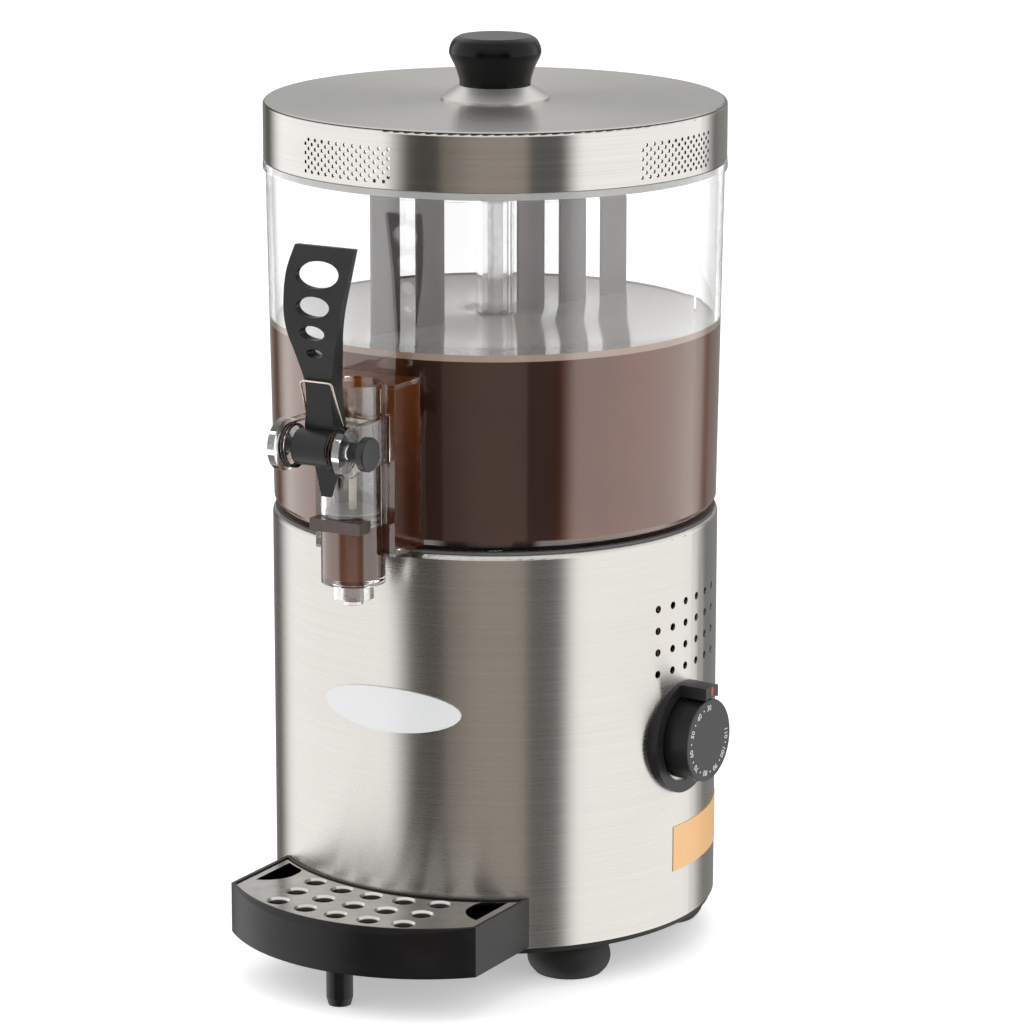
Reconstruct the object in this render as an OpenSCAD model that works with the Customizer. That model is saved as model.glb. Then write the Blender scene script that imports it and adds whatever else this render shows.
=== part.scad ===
// Hot chocolate dispenser with a heated base, a clear bowl, a turning stirrer,
// a lever tap with a lifting piston, a perforated lid and a pull-out drip tray.
// Millimetres, +Z up. The tap faces -Y and the temperature dial is on the +X side.
// The origin is on the surface it stands on, under the middle of the whole machine.

/* [Housing] */
// Outside diameter of the steel jacket
housing_d = 232; // [215:1:260]
// Height of the steel jacket
jacket_h = 206; // [190:1:240]
// Sheet thickness of the jacket
jacket_t = 1.2; // [0.8:0.1:2]
// Outside radius of the rolled top edge
jacket_round = 2.5; // [2.2:0.1:4]
// Width of the lip that carries the bowl
lip_w = 6; // [5:0.5:9]
// Diameter of a cooling hole in the jacket
cooling_hole_d = 4; // [2:0.5:6]
// Rows of cooling holes
cooling_rows = 4; // [2:1:6]
// Columns of cooling holes
cooling_cols = 6; // [3:1:8]
// Height between rows of cooling holes
cooling_pitch = 11.4; // [9:0.1:13]
// Angle between columns of cooling holes
cooling_step = 5.8; // [4.5:0.1:7]
// Depth of the top row of cooling holes below the seam
cooling_drop = 36.5; // [25:0.5:45]

/* [Base and feet] */
// Height of a rubber foot
foot_h = 19; // [12:1:30]
// Widest diameter of a rubber foot
foot_d = 43; // [36:1:46]
// Distance of a foot from the machine's axis
foot_ring = 90; // [80:1:92]
// Angle of a foot from the front or the back
foot_angle = 55; // [45:1:62]
// Thickness of the base moulding
base_t = 3; // [2:0.5:5]
// How far the base moulding stays inside the jacket
base_inset = 1.5; // [1.2:0.1:4]
// Height of the ring that locates the jacket on the base
upstand_h = 8; // [5:1:14]
// Diameter of the recess for a foot's screw
foot_recess_d = 12; // [10:0.5:14]
// Diameter of the screws that hold the feet
foot_screw_d = 4; // [3:0.5:5]
// Number of air slots in the base
base_slots = 12; // [6:1:16]

/* [Bowl] */
// Outside diameter of the bowl just above its chamfer
bowl_foot_d = 230.4; // [214:0.2:258]
// Outside diameter of the bowl under its rim
bowl_top_d = 236; // [216:0.5:262]
// Height of the bowl
bowl_h = 181.4; // [165:0.1:210]
// Thickness of the bowl's wall
bowl_wall = 3; // [2:0.1:4]
// Thickness of the bowl's floor
bowl_floor = 2.8; // [2.4:0.1:6]
// Height of the chamfer round the bowl's foot
bowl_chamfer_h = 5.4; // [3:0.1:8]
// How far that chamfer goes in
bowl_chamfer_w = 2.8; // [1:0.1:4]
// How far the rim flange stands out from the wall
rim_out = 1.3; // [0.8:0.1:3]
// Height of the rim flange
rim_h = 4.5; // [3:0.1:7]
// Outside diameter of the centre column
column_d = 19.5; // [18:0.1:22]
// Bore of the centre column
column_bore_d = 14; // [11:0.5:15]
// How far the column ends below the rim
column_drop = 14; // [10:0.5:22]
// Height of the gasket that shows at the seam
gasket_h = 1.3; // [1:0.1:3]

/* [Lid] */
// How far the lid reaches past the bowl's rim
lid_over = 1; // [0.5:0.1:3]
// Height of the lid's skirt
lid_h = 29.6; // [24:0.2:40]
// Sheet thickness of the lid
lid_t = 1.2; // [0.8:0.1:2]
// Outside radius of the lid's top edge
lid_round = 2; // [1.5:0.1:4]
// Angle by which the lid is turned as it lies on the bowl
lid_turn = -9.3; // [-20:0.1:20]
// Groups of vent holes round the lid
vent_groups = 4; // [2:1:6]
// Rows of holes in a group
vent_rows = 8; // [3:1:9]
// Holes in one row
vent_cols = 11; // [4:1:13]
// Diameter of a vent hole
vent_hole_d = 1.9; // [1.2:0.1:2.2]
// Height between rows of vent holes
vent_pitch = 2.3; // [2.2:0.1:2.6]
// Angle between the holes of a row
vent_step = 2.5; // [2:0.1:3]
// Height of the lowest vent row above the lid's edge
vent_start = 3.6; // [3.4:0.1:6]
// Depth of the locating ring inside the bowl
spigot_h = 4; // [2:0.5:8]
// Wall of the locating ring
spigot_t = 2; // [1.2:0.1:3]

/* [Lid knob] */
// Widest diameter of the knob
knob_d = 47; // [40:0.5:54]
// Height of the knob
knob_h = 25; // [20:0.5:36]
// Diameter of the knob where it meets its collar
knob_foot_d = 36.7; // [30:0.1:40]
// Bottom diameter of the steel collar
collar_d = 56; // [48:0.5:66]
// Height of the steel collar
collar_h = 7; // [4:0.5:12]
// Diameter of the knob's screw
knob_screw_d = 5; // [4:0.5:6]

/* [Tap body] */
// Distance of the tap's barrel from the machine's axis
barrel_reach = 141; // [138:0.5:154]
// Outside diameter of the barrel
barrel_d = 32; // [30:0.5:36]
// Bore of the barrel
barrel_bore_d = 27.9; // [24:0.1:28]
// How far the barrel hangs below the bowl's floor
barrel_drop = 12.6; // [8:0.2:18]
// Thickness of the barrel's bottom
barrel_floor = 3; // [2:0.5:4]
// Width of the channel between the bowl and the barrel
channel_w = 46; // [44:0.5:54]
// Height of the channel's roof above the bowl's foot
channel_top = 88.4; // [84:0.2:100]
// Height of the channel's underside above the bowl's foot
channel_base = 1.7; // [1:0.1:3]
// Wall of the channel
channel_wall = 3; // [2:0.1:3.5]
// Outside diameter of the ring round the spout
spout_ring_d = 20.5; // [18:0.5:26]
// Length of the ring round the spout
spout_ring_h = 8.3; // [5:0.1:12]
// Length of the spout
spout_h = 11.4; // [9:0.1:16]
// Bore of the spout
spout_bore_d = 8; // [6:0.5:10]
// Wall of the spout
spout_wall = 1.2; // [1:0.1:2]
// Thickness of an ear that carries the lever's pin
ear_t = 4; // [3:0.1:6]
// Distance between the two ears
ear_gap = 33; // [32:0.2:36]
// Diameter of an ear's round end
ear_d = 26; // [22:0.5:30]
// Width of the front plate on the barrel
plate_w = 29; // [22:0.5:30]
// Height of the front plate
plate_h = 6; // [4:0.5:8]
// How far the front plate stands out from the barrel
plate_out = 1.4; // [1:0.1:3]
// Height of the front plate above the bowl's foot
plate_up = 15.4; // [12:0.2:20]

/* [Tap lever] */
// Distance of the lever's pin from the barrel's axis
pivot_reach = 33; // [31:0.5:38]
// Height of the lever's pin above the bowl's foot
pivot_up = 61.4; // [56:0.2:66]
// Length of the lever above its pin
lever_len = 98; // [85:1:115]
// Length of the lever's tail below its pin
tail_len = 26; // [18:0.5:32]
// Width of the lever at its widest
lever_w = 35.6; // [30:0.2:40]
// Outside diameter of the lever's hub
hub_d = 17.7; // [15:0.1:18.5]
// Length of the lever's hub
hub_len = 19.2; // [16:0.2:20]
// Diameter of the lever's pin
pin_d = 8; // [6:0.5:9]
// Diameter of the pin's head
pin_head_d = 17; // [14:0.5:20]
// Width of the largest window in the lever
window_w = 24.5; // [16:0.1:26]
// Height of the largest window in the lever
window_h = 12.7; // [8:0.1:13.5]
// Diameter of the spring's wire
wire_d = 1.1; // [0.9:0.05:1.2]
// Mean diameter of the spring's coils
coil_d = 21; // [19:0.5:22]
// Full turns in each of the spring's coils
coil_turns = 2; // [1:1:2]

/* [Piston] */
// Lift of the piston when the lever is pulled fully down
piston_lift = 8.4; // [6:0.1:8.8]
// Height of the seal above the barrel's floor
seal_up = 27; // [25.5:0.5:30]
// Thickness of the sealing piston
seal_h = 7; // [6:0.5:9]
// Diameter of the plug that closes the spout
plug_d = 16; // [12:0.5:20]
// Diameter of the piston's rod
rod_d = 4; // [3:0.5:6]
// Diameter of the round tip of the lever's arm
tip_d = 6.8; // [6:0.1:7.4]

/* [Stirrer] */
// Width of a stirrer blade
blade_w = 18; // [12:0.5:22]
// Thickness of a stirrer blade
blade_t = 2; // [1.5:0.1:4]
// Distance between neighbouring blades
blade_pitch = 30; // [26:0.5:31]
// Distance of the first blade on the short side from the axis
blade_first_short = 45; // [40:0.5:48]
// Distance of the first blade on the long side from the axis
blade_first_long = 25; // [24:0.5:30]
// Angle of the stirrer from the front, as it stands
stirrer_turn = 17.5; // [0:0.5:45]
// Height of the stirrer's crossbar
crossbar_h = 10; // [6:0.5:11]
// Gap between the stirrer and the bowl's floor
scrape_gap = 4.5; // [2:0.5:10]

/* [Temperature dial] */
// Angle of the dial from the front
dial_angle = 86.5; // [75:0.5:100]
// Depth of the dial's centre below the seam
dial_drop = 108; // [100:0.5:125]
// Diameter of the dial's bezel
bezel_d = 58.6; // [52:0.2:62]
// How far the bezel stands out from the jacket
bezel_out = 2; // [1:0.1:5]
// Diameter of the dial's knob
dial_d = 43; // [36:0.2:46]
// Length of the dial's knob
dial_len = 14.3; // [10:0.1:20]
// Length of the pointer that reaches over the knob
pointer_len = 15; // [8:0.2:18]
// Diameter of the dial's spindle
spindle_d = 6; // [5:0.5:6]

/* [Front badge and side label] */
// Width of the oval badge
badge_w = 78; // [50:1:100]
// Height of the oval badge
badge_h = 23; // [15:0.5:32]
// Depth of the badge's centre below the seam
badge_drop = 83; // [65:0.5:110]
// Angle of the badge's middle from the front
badge_angle = 2; // [-10:0.5:10]
// Width of the side label, measured round the jacket
label_w = 80; // [50:1:90]
// Height of the side label
label_h = 24; // [14:0.5:30]
// Angle of the side label's middle from the front
label_angle = 102; // [98:0.5:125]
// Height of the side label's middle above the jacket's foot
label_up = 39; // [30:0.5:50]

/* [Drip tray] */
// Width of the drip tray
tray_w = 145; // [125:1:160]
// Height of the drip tray
tray_h = 26; // [20:0.5:34]
// Distance of the tray's front from the machine's axis
tray_reach = 174.5; // [172:0.5:200]
// Distance of the tray's front corners from the machine's axis
tray_corner = 145; // [138:0.5:155]
// Wall of the drip tray at its front and sides
tray_wall = 3.4; // [3:0.1:4]
// Wall of the drip tray along the jacket
tray_back_wall = 2.2; // [2:0.1:2.4]
// Width of the ledge that carries the grille
ledge_w = 1.4; // [1:0.1:2]
// Depth of the grille below the tray's rim
grille_drop = 0.7; // [0.4:0.1:4]
// Greatest height of the chamfer on the tray's front edge
lip_drop = 3.8; // [2:0.1:5]
// Sheet thickness of the grille
grille_t = 1.2; // [0.8:0.1:1.6]
// Rows of drain holes
drain_rows = 3; // [1:1:3]
// Drain holes in a row
drain_cols = 5; // [3:2:5]
// Sideways distance between drain holes
drain_pitch = 18.5; // [17:0.1:20]
// Distance between rows of drain holes
drain_row_pitch = 17.1; // [15:0.1:17.2]
// Distance of the first row from the machine's axis
drain_first = 125.9; // [125.9:0.1:126.4]
// Diameter of a drain hole's dish
drain_d = 14; // [11:0.2:14]
// Diameter of the leg under the tray
leg_d = 13.5; // [10:0.5:20]
// Distance of the leg from the tray's front
leg_inset = 17.5; // [14.5:0.5:24]

/* [Drive and heating] */
// Diameter of the drive shaft
shaft_d = 8; // [6:0.5:9]
// Diameter of the gearbox
gearbox_d = 60; // [50:1:70]
// Height of the gearbox
gearbox_h = 28; // [20:1:40]
// Diameter of the motor
motor_d = 54; // [40:1:64]
// Height of the motor
motor_h = 66; // [50:1:80]
// Thickness of the deck under the bowl
deck_t = 2; // [1.5:0.1:3]
// Thickness of the heating plate
heat_plate_t = 2.6; // [1.6:0.1:2.8]
// Radius of the heating element's ring
element_ring = 64; // [62:0.5:66]
// Diameter of the heating element
element_d = 8; // [6:0.5:10]

/* [Rear fittings] */
// Distance of the terminal block's face from the jacket
block_inset = 54; // [50:1:60]
// Length of the terminal block along its wires
block_l = 18; // [14:1:20]
// Height of the terminal block
block_h = 16; // [12:1:20]
// Distance between the block's ways
block_pitch = 9; // [8:0.5:10]
// Angle of the power switch from the back
switch_turn = 20; // [14:1:40]
// Height of the power switch above the jacket's foot
switch_up = 48; // [40:1:90]
// Angle of the cable gland from the back
gland_turn = 20; // [12:1:40]
// Height of the cable gland above the jacket's foot
gland_up = 26; // [22:1:60]
// Bore of the cable gland
gland_bore_d = 7.2; // [5:0.1:9]
// Diameter of the cable gland's nose
gland_nose_d = 15; // [12:0.5:20]
// Length of the cable gland outside the jacket
gland_out = 13; // [9:0.5:20]

/* [Clearances] */
// Radial clearance of a shaft or pin that turns in its bore
run_gap = 0.05; // [0.03:0.01:0.08]
// Gap at rest between pieces that can be lifted or slid apart
rest_gap = 0.3; // [0.25:0.05:0.4]
// Gap round pieces that are held together
hold_gap = 0.1; // [0.05:0.01:0.15]

/* [Hidden] */
$fn = 96;
over = 1;                                  // overshoot of a cutting shape
housing_r = housing_d / 2;
z_jacket = foot_h + base_t;
z_seam = z_jacket + jacket_h;
lip_r = housing_r - lip_w;
z_deck = z_seam - jacket_t;                // top of the deck, under the lip
z_under_deck = z_deck - deck_t;
z_bowl = z_seam + gasket_h + rest_gap;     // underside of the bowl
z_floor = z_bowl + bowl_floor;             // inside of the bowl's floor
z_rim = z_bowl + bowl_h;
z_lid = z_rim + rest_gap;
z_lid_top = z_lid + lid_h;
z_knob = z_lid_top + collar_h;
bowl_top_r = bowl_top_d / 2;
bowl_foot_r = bowl_foot_d / 2;
rim_r = bowl_top_r + rim_out;
lid_r = bowl_top_r + lid_over;
column_r = column_d / 2;
z_column = z_rim - column_drop;
function bowl_r(z) = bowl_foot_r                // outer radius of the bowl's wall at a height
    + (bowl_top_r - bowl_foot_r) * (z - z_bowl - bowl_chamfer_h) / (bowl_h - bowl_chamfer_h);

// tap
barrel_y = -barrel_reach;
barrel_r = barrel_d / 2;
bore_r = barrel_bore_d / 2;
z_barrel = z_bowl - barrel_drop;
z_seat = z_barrel + barrel_floor;          // floor inside the barrel
z_channel = z_bowl + channel_base;
z_channel_top = z_bowl + channel_top;
channel_front = barrel_y + 2;              // front face of the channel
pivot_y = barrel_y - pivot_reach;
pivot_z = z_bowl + pivot_up;
ear_in = ear_gap / 2;
ear_out = ear_in + ear_t;
pin_r = pin_d / 2;
pin_neck_d = pin_d + 2.5;
pin_neck_len = 6.7;
pin_head_len = 4;
pin_tail_len = 2;
clip_t = 0.9;
arm_w = 6;
arm_h = 3.2;
tip_r = tip_d / 2;
lever_angle = asin(piston_lift / pivot_reach); // travel of the lever
tap_slot_w = arm_w + 2.4;

// piston
z_seal = z_seat + seal_up;
piston_r = bore_r - run_gap;
z_plug = z_seat + rest_gap;
plug_h = 4;
ring_r = 1;
crosshead_h = 16;
crosshead_w = 14;
crosshead_l = 7;

// stirrer
hub_wall = 3.2;
stir_hub_r = column_r + hub_wall;
hub_grip = 8.5;                            // how far the hub reaches down over the column
z_stir_hub = z_column - hub_grip;
z_hub_seat = z_column + rest_gap;          // ceiling of the hub's bearing bore
stir_hub_top = z_rim - 2;
shaft_r = shaft_d / 2;
hex_d = shaft_d + 1.2;                     // across the corners of the shaft's hexagon end
z_shaft_top = stir_hub_top - 4;
z_blade = z_floor + scrape_gap;
z_crossbar = stir_hub_top - 1 - crossbar_h;
tie_h = 6;
eye_t = 3;

// dial
dial_turn = dial_angle - 90;
dial_z = z_seam - dial_drop;
dial_r = dial_d / 2;
bezel_r = bezel_d / 2;
bezel_face = housing_r + bezel_out;        // distance of the bezel's face from the axis
dial_back = housing_r + 1;
dial_face = dial_back + dial_len;
spindle_r = spindle_d / 2;
bush_r = spindle_r + 1.9;
bezel_bore_r = dial_r + 1.7;
pointer_w = 12;                            // width of the pointer over the knob
thermostat_w = 32;
thermostat_h = 36;
thermostat_l = 26;
thermostat_face = sqrt(pow(housing_r - jacket_t - hold_gap, 2) - pow(thermostat_w / 2, 2));
capillary_r = 1;
capillary_bend = 8;
bulb_r = 3;
bulb_len = 24;

// drip tray
z_tray = z_jacket + 1;
z_tray_top = z_tray + tray_h;
tray_bow = tray_reach - tray_corner;
tray_arc = (pow(tray_w / 2, 2) + tray_bow * tray_bow) / (2 * tray_bow);
tray_arc_y = -tray_reach + tray_arc;
tray_back_gap = 0.4;
rail_w = 12;
rail_t = 3;
rail_x = 40;
rail_reach = tray_reach - 24.5;
rail_root = housing_r - 46;                // where the rails' cross strip starts
rail_strip = 14;
z_tray_floor = z_jacket + rail_t + rest_gap; // underside of the tray's floor, over the rails
leg_reach = tray_reach - leg_inset;
tray_floor_t = 2.5;
z_ledge = z_tray_top - grille_drop - grille_t - rest_gap;
grip_cut_r = 19;                           // curve of a finger opening, towards the middle
grip_cut_w = 15;
grip_cut_y = -115;
grip_lip = 3;                              // depth of the edge turned down round a finger opening
ledge_back = 0.8;
lip_run = (tray_wall - ledge_w) * 0.6;     // depth of the front chamfer, in plan, at the middle
dish_depth = 2;

// drive and heating
z_element = z_under_deck - element_d / 2 - hold_gap;
bracket_t = 2;
z_bracket = z_under_deck - 16.8;           // underside of the bracket's plate less its thickness
z_gearbox = z_bracket - bracket_t - gearbox_h;
bracket_l = 82;
bracket_w = 44;
bracket_flange = 13;
shaft_depth = 22;                          // length of shaft inside the gearbox
screw_r = 1.8;
screw_head_r = 3.4;
screw_head_h = 2.4;
bush_flange_r = 13;
bush_body_r = 10;

// rear fittings
gland_hole_r = gland_bore_d / 2 + 2.4;
gland_tip = housing_r + gland_out;
gland_round = gland_nose_d * 0.175;
switch_pivot = housing_r - 6;
switch_z = z_jacket + switch_up;
rocker_tilt = 8;
rocker_w = 13.6;
rocker_l = 21;
switch_wall = 2.7;

// the box of the whole machine is centred on the origin
side_reach = max(dial_face * cos(dial_turn) + dial_r * abs(sin(dial_turn)),
    (bezel_face + pointer_len) * cos(dial_turn) + pointer_w / 2 * abs(sin(dial_turn)), lid_r, rim_r);
left_reach = max(lid_r, rim_r, housing_r);
front_reach = max(-pivot_y + ear_d / 2, tray_reach);
rear_reach = max((gland_tip - gland_round) * cos(gland_turn)
    + (gland_nose_d / 2 - gland_round) * sin(gland_turn) + gland_round, lid_r, rim_r);
axis_x = (left_reach - side_reach) / 2;
axis_y = (front_reach - rear_reach) / 2;

// ---- small helpers -------------------------------------------------------

// puts a piece that is drawn about the machine's axis where the axis stands
module at_axis() { translate([axis_x, axis_y, 0]) children(); }

// turns a piece that is drawn along +X to point outwards, angle measured from the front
module facing(angle) { rotate([0, 0, angle - 90]) children(); }

// a round bar along +X
module bar_x(r, x0, x1) { translate([x0, 0, 0]) rotate([0, 90, 0]) cylinder(r = r, h = x1 - x0); }

// a ring lying flat
module ring(r_out, r_in, z0, z1) {
    translate([0, 0, z0]) difference() {
        cylinder(r = r_out, h = z1 - z0);
        translate([0, 0, -over]) cylinder(r = r_in, h = z1 - z0 + 2 * over);
    }
}

// half of a drum's outline whose upper corner is rounded
module drum_half(r, z0, z1, round) {
    translate([0, z0]) square([r, z1 - z0 - round]);
    translate([0, z0]) square([r - round, z1 - z0]);
    translate([r - round, z1 - round]) circle(r = round);
}

// keeps the part of an outline on the right of the axis
module right_half() {
    intersection() {
        children();
        translate([0, -over]) square([2 * housing_d, 4 * housing_d]);
    }
}

function ellipse(w, h, n = 40) = [for (i = [0:n - 1]) [w / 2 * cos(360 * i / n), h / 2 * sin(360 * i / n)]];

// points on a smooth curve through the given ones
function spline_point(a, b, c, d, t) = 0.5 * (2 * b + (c - a) * t
    + (2 * a - 5 * b + 4 * c - d) * t * t + (3 * b - a - 3 * c + d) * t * t * t);
function spline(p, n) = concat([for (i = [0:len(p) - 2]) for (k = [0:n - 1])
    spline_point(p[max(i - 1, 0)], p[i], p[i + 1], p[min(i + 2, len(p) - 1)], k / n)], [p[len(p) - 1]]);
function reversed(p) = [for (i = [len(p) - 1:-1:0]) p[i]];

// ---- base and feet -------------------------------------------------------

module each_foot() {
    for (a = [foot_angle, 180 - foot_angle, 180 + foot_angle, -foot_angle])
        rotate([0, 0, a - 90]) translate([foot_ring, 0, 0]) children();
}

foot_sole_r = foot_d / 2 - 4;
foot_top_r = foot_d / 2 - 3;
screw_sink = 7;
module foot_profile() {
    polygon(concat([[0, 0]],
        spline([[foot_sole_r, 0], [foot_d / 2 - 1, foot_h * 0.2], [foot_d / 2, foot_h * 0.45],
            [foot_d / 2 - 1.6, foot_h * 0.8], [foot_top_r, foot_h]], 5), [[0, foot_h]]));
}
module rubber_feet() {
    color("#161616") at_axis() each_foot() difference() {
        rotate_extrude() foot_profile();
        translate([0, 0, -over]) cylinder(d = foot_recess_d, h = screw_sink + over);
        translate([0, 0, -over]) cylinder(d = foot_screw_d + 2 * hold_gap, h = foot_h + 2 * over);
    }
}

foot_screw_len = foot_h + base_t + upstand_h - screw_sink - 1;
module foot_screws() {
    color("silver") at_axis() each_foot() translate([0, 0, screw_sink]) {
        translate([0, 0, -3]) cylinder(d = foot_screw_d + 5, h = 3);
        cylinder(d = foot_screw_d, h = foot_screw_len);
    }
}

base_r = housing_r - base_inset;
upstand_r = housing_r - jacket_t - hold_gap;
module rail_cut(h) {
    for (s = [-1, 1])
        translate([s * rail_x - rail_w / 2 - rest_gap, -housing_d, z_jacket])
            cube([rail_w + 2 * rest_gap, housing_d, h]);
}
module base_plate() {
    color("#202020") at_axis() difference() {
        union() {
            translate([0, 0, foot_h]) cylinder(r = base_r, h = base_t);
            ring(upstand_r, upstand_r - 2.5, z_jacket - over, z_jacket + upstand_h);
            each_foot() translate([0, 0, z_jacket - over]) cylinder(d = foot_screw_d + 7, h = upstand_h + over);
        }
        each_foot() translate([0, 0, foot_h - over])
            cylinder(d = foot_screw_d + 2 * hold_gap, h = base_t + upstand_h + over);
        for (i = [0:base_slots - 1]) rotate([0, 0, 360 / base_slots * i])
            translate([34, -1.5, foot_h - over]) cube([24, 3, base_t + 2 * over]);
        rail_cut(upstand_h + over);
    }
}

// ---- housing -------------------------------------------------------------

module cooling_holes() {
    for (c = [0:cooling_cols - 1], r = [0:cooling_rows - 1])
        facing(90 + (c - (cooling_cols - 1) / 2) * cooling_step)
            translate([0, 0, z_seam - cooling_drop - r * cooling_pitch])
                bar_x(cooling_hole_d / 2, housing_r - jacket_t - over, housing_r + over);
}

module housing_shell() {
    color("#c8c8c6") at_axis() difference() {
        rotate_extrude() difference() {
            drum_half(housing_r, z_jacket, z_seam, jacket_round);
            drum_half(housing_r - jacket_t, z_jacket - over, z_seam - jacket_t, jacket_round - jacket_t);
            translate([-over, z_jacket - over]) square([lip_r + over, jacket_h + 2 * over]);
        }
        cooling_holes();
        facing(dial_angle) translate([0, 0, dial_z])
            bar_x(bush_r + hold_gap, housing_r - 2 * jacket_t, housing_r + over);
        facing(180 - switch_turn) translate([housing_r - 8, -rocker_w / 2 - switch_wall - hold_gap,
            switch_z - rocker_l / 2 - switch_wall - hold_gap])
            cube([10, rocker_w + 2 * (switch_wall + hold_gap), rocker_l + 2 * (switch_wall + hold_gap)]);
        facing(180 + gland_turn) translate([0, 0, z_jacket + gland_up])
            bar_x(gland_hole_r + hold_gap, housing_r - 2 * jacket_t, housing_r + over);
        rail_cut(rail_t + rest_gap);
    }
}

deck_r = housing_r - jacket_round - hold_gap;  // clear of the jacket's rounded lip
module top_deck() {
    color("#b9bbbd") at_axis() difference() {
        union() {
            translate([0, 0, z_under_deck]) cylinder(r = deck_r, h = deck_t);
            ring(deck_r, deck_r - 2, z_under_deck - 10, z_under_deck + over);
        }
        translate([0, 0, z_under_deck - over]) cylinder(r = bush_body_r + hold_gap, h = deck_t + 2 * over);
        each_bracket_screw() translate([0, 0, z_under_deck - over])
            cylinder(r = screw_r + hold_gap / 2, h = deck_t + 2 * over);
    }
}

heat_plate_r = lip_r - 1;
module heating_plate() {
    color("#9d9fa1") at_axis()
        ring(heat_plate_r, bush_body_r + 2 * hold_gap, z_deck, z_deck + min(heat_plate_t, z_bowl - z_deck - 0.2));
}

module bowl_gasket() {
    color("#0e0e0e") at_axis()
        ring(housing_r - 1.4, lip_r + 0.4, z_seam, z_seam + gasket_h);
}

element_sweep = 330;
element_end = 5;                           // angle from an end to its terminal
module heating_element() {
    color("#6d6a66") at_axis() rotate([0, 0, 105]) {
        rotate_extrude(angle = element_sweep) translate([element_ring, z_element]) circle(d = element_d);
        for (a = [element_end, element_sweep - element_end]) rotate([0, 0, a])
            translate([element_ring, 0, z_element - 16]) cylinder(d = element_d * 0.6, h = 15);
    }
}

// ---- drive ---------------------------------------------------------------

bracket_screw_x = bracket_l / 2 + bracket_flange / 2 + 0.5;
bracket_screw_y = bracket_w / 2 - 8;
gearbox_screw_ring = gearbox_d / 2 - 6;
module each_bracket_screw() {
    for (x = [-1, 1], y = [-1, 1]) translate([x * bracket_screw_x, y * bracket_screw_y, 0]) children();
}
module each_gearbox_screw() {
    for (a = [0, 90, 180, 270]) rotate([0, 0, a]) translate([gearbox_screw_ring, 0, 0]) children();
}

module motor_bracket() {
    z_plate = z_bracket - bracket_t;
    color("#a9abad") at_axis() difference() {
        union() {
            translate([-bracket_l / 2, -bracket_w / 2, z_plate]) cube([bracket_l, bracket_w, bracket_t]);
            for (s = [-1, 1]) {
                translate([s * (bracket_l - bracket_t) / 2 - bracket_t / 2, -bracket_w / 2, z_plate])
                    cube([bracket_t, bracket_w, z_under_deck - z_plate]);
                translate([s * (bracket_l + bracket_flange) / 2 - bracket_flange / 2 - over * (s + 1) / 2,
                    -bracket_w / 2, z_under_deck - bracket_t]) cube([bracket_flange + over, bracket_w, bracket_t]);
            }
        }
        translate([0, 0, z_plate - over]) cylinder(r = shaft_r + 3.5, h = bracket_t + 2 * over);
        each_bracket_screw() translate([0, 0, z_under_deck - bracket_t - over])
            cylinder(r = screw_r + hold_gap / 2, h = bracket_t + 2 * over);
        each_gearbox_screw() translate([0, 0, z_plate - over])
            cylinder(r = screw_r + hold_gap / 2, h = bracket_t + 2 * over);
    }
}

module bracket_screws() {
    color("silver") at_axis() {
        each_bracket_screw() {
            translate([0, 0, z_under_deck - bracket_t - screw_head_h]) cylinder(r = screw_head_r, h = screw_head_h);
            translate([0, 0, z_under_deck - bracket_t]) cylinder(r = screw_r, h = bracket_t + deck_t - 0.2);
        }
        each_gearbox_screw() {
            translate([0, 0, z_bracket]) cylinder(r = screw_head_r, h = screw_head_h);
            translate([0, 0, z_bracket - bracket_t - 8]) cylinder(r = screw_r, h = bracket_t + 8);
        }
    }
}

module gearbox() {
    color("#8f9296") at_axis() difference() {
        union() {
            translate([0, 0, z_gearbox]) cylinder(d = gearbox_d, h = gearbox_h);
            translate([0, 0, z_gearbox]) cylinder(r = shaft_r + 3, h = gearbox_h + bracket_t + 1.5);
        }
        translate([0, 0, z_gearbox + gearbox_h - shaft_depth - 0.5])
            cylinder(r = shaft_r + run_gap, h = shaft_depth + bracket_t + 1.5 + over);
        each_gearbox_screw() translate([0, 0, z_gearbox + gearbox_h - 9])
            cylinder(r = screw_r + hold_gap / 2, h = 9 + over);
    }
}

module motor() {
    color("#5b5e62") at_axis() {
        translate([0, 0, z_gearbox - motor_h]) cylinder(d = motor_d, h = motor_h);
        translate([0, 0, z_gearbox - motor_h - 5]) cylinder(d = motor_d * 0.45, h = 5 + over);
    }
}

module shaft_bush() {
    color("#b08d4a") at_axis() difference() {
        union() {
            translate([0, 0, z_under_deck - 2]) cylinder(r = bush_flange_r, h = 2);
            translate([0, 0, z_under_deck - 2]) cylinder(r = bush_body_r, h = z_bowl - z_under_deck + 2 - 0.4);
        }
        translate([0, 0, z_under_deck - 2 - over]) cylinder(r = shaft_r + run_gap, h = z_bowl - z_under_deck + 4);
    }
}

hex_len = z_shaft_top - z_hub_seat;
module drive_shaft() {
    color("#d4d6d8") at_axis() {
        translate([0, 0, z_gearbox + gearbox_h - shaft_depth])
            cylinder(r = shaft_r, h = z_hub_seat - z_gearbox - gearbox_h + shaft_depth);
        translate([0, 0, z_hub_seat - 4]) cylinder(d = hex_d, h = hex_len + 4, $fn = 6);
    }
}

// ---- temperature control -------------------------------------------------

module dial_bezel() {
    color("#141414") at_axis() facing(dial_angle) translate([0, 0, dial_z]) difference() {
        union() {
            bar_x(bezel_r, housing_r - 8, bezel_face);
            intersection() {
                bar_x(bezel_r, bezel_face - over, bezel_face + pointer_len);
                translate([0, -pointer_w / 2, 0]) cube([2 * housing_r, pointer_w, 2 * bezel_r]);
            }
        }
        bar_x(bezel_bore_r, housing_r - 9, bezel_face + pointer_len + over);
        translate([0, 0, -2 * bezel_r]) cylinder(r = housing_r, h = 4 * bezel_r);
    }
}

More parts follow.
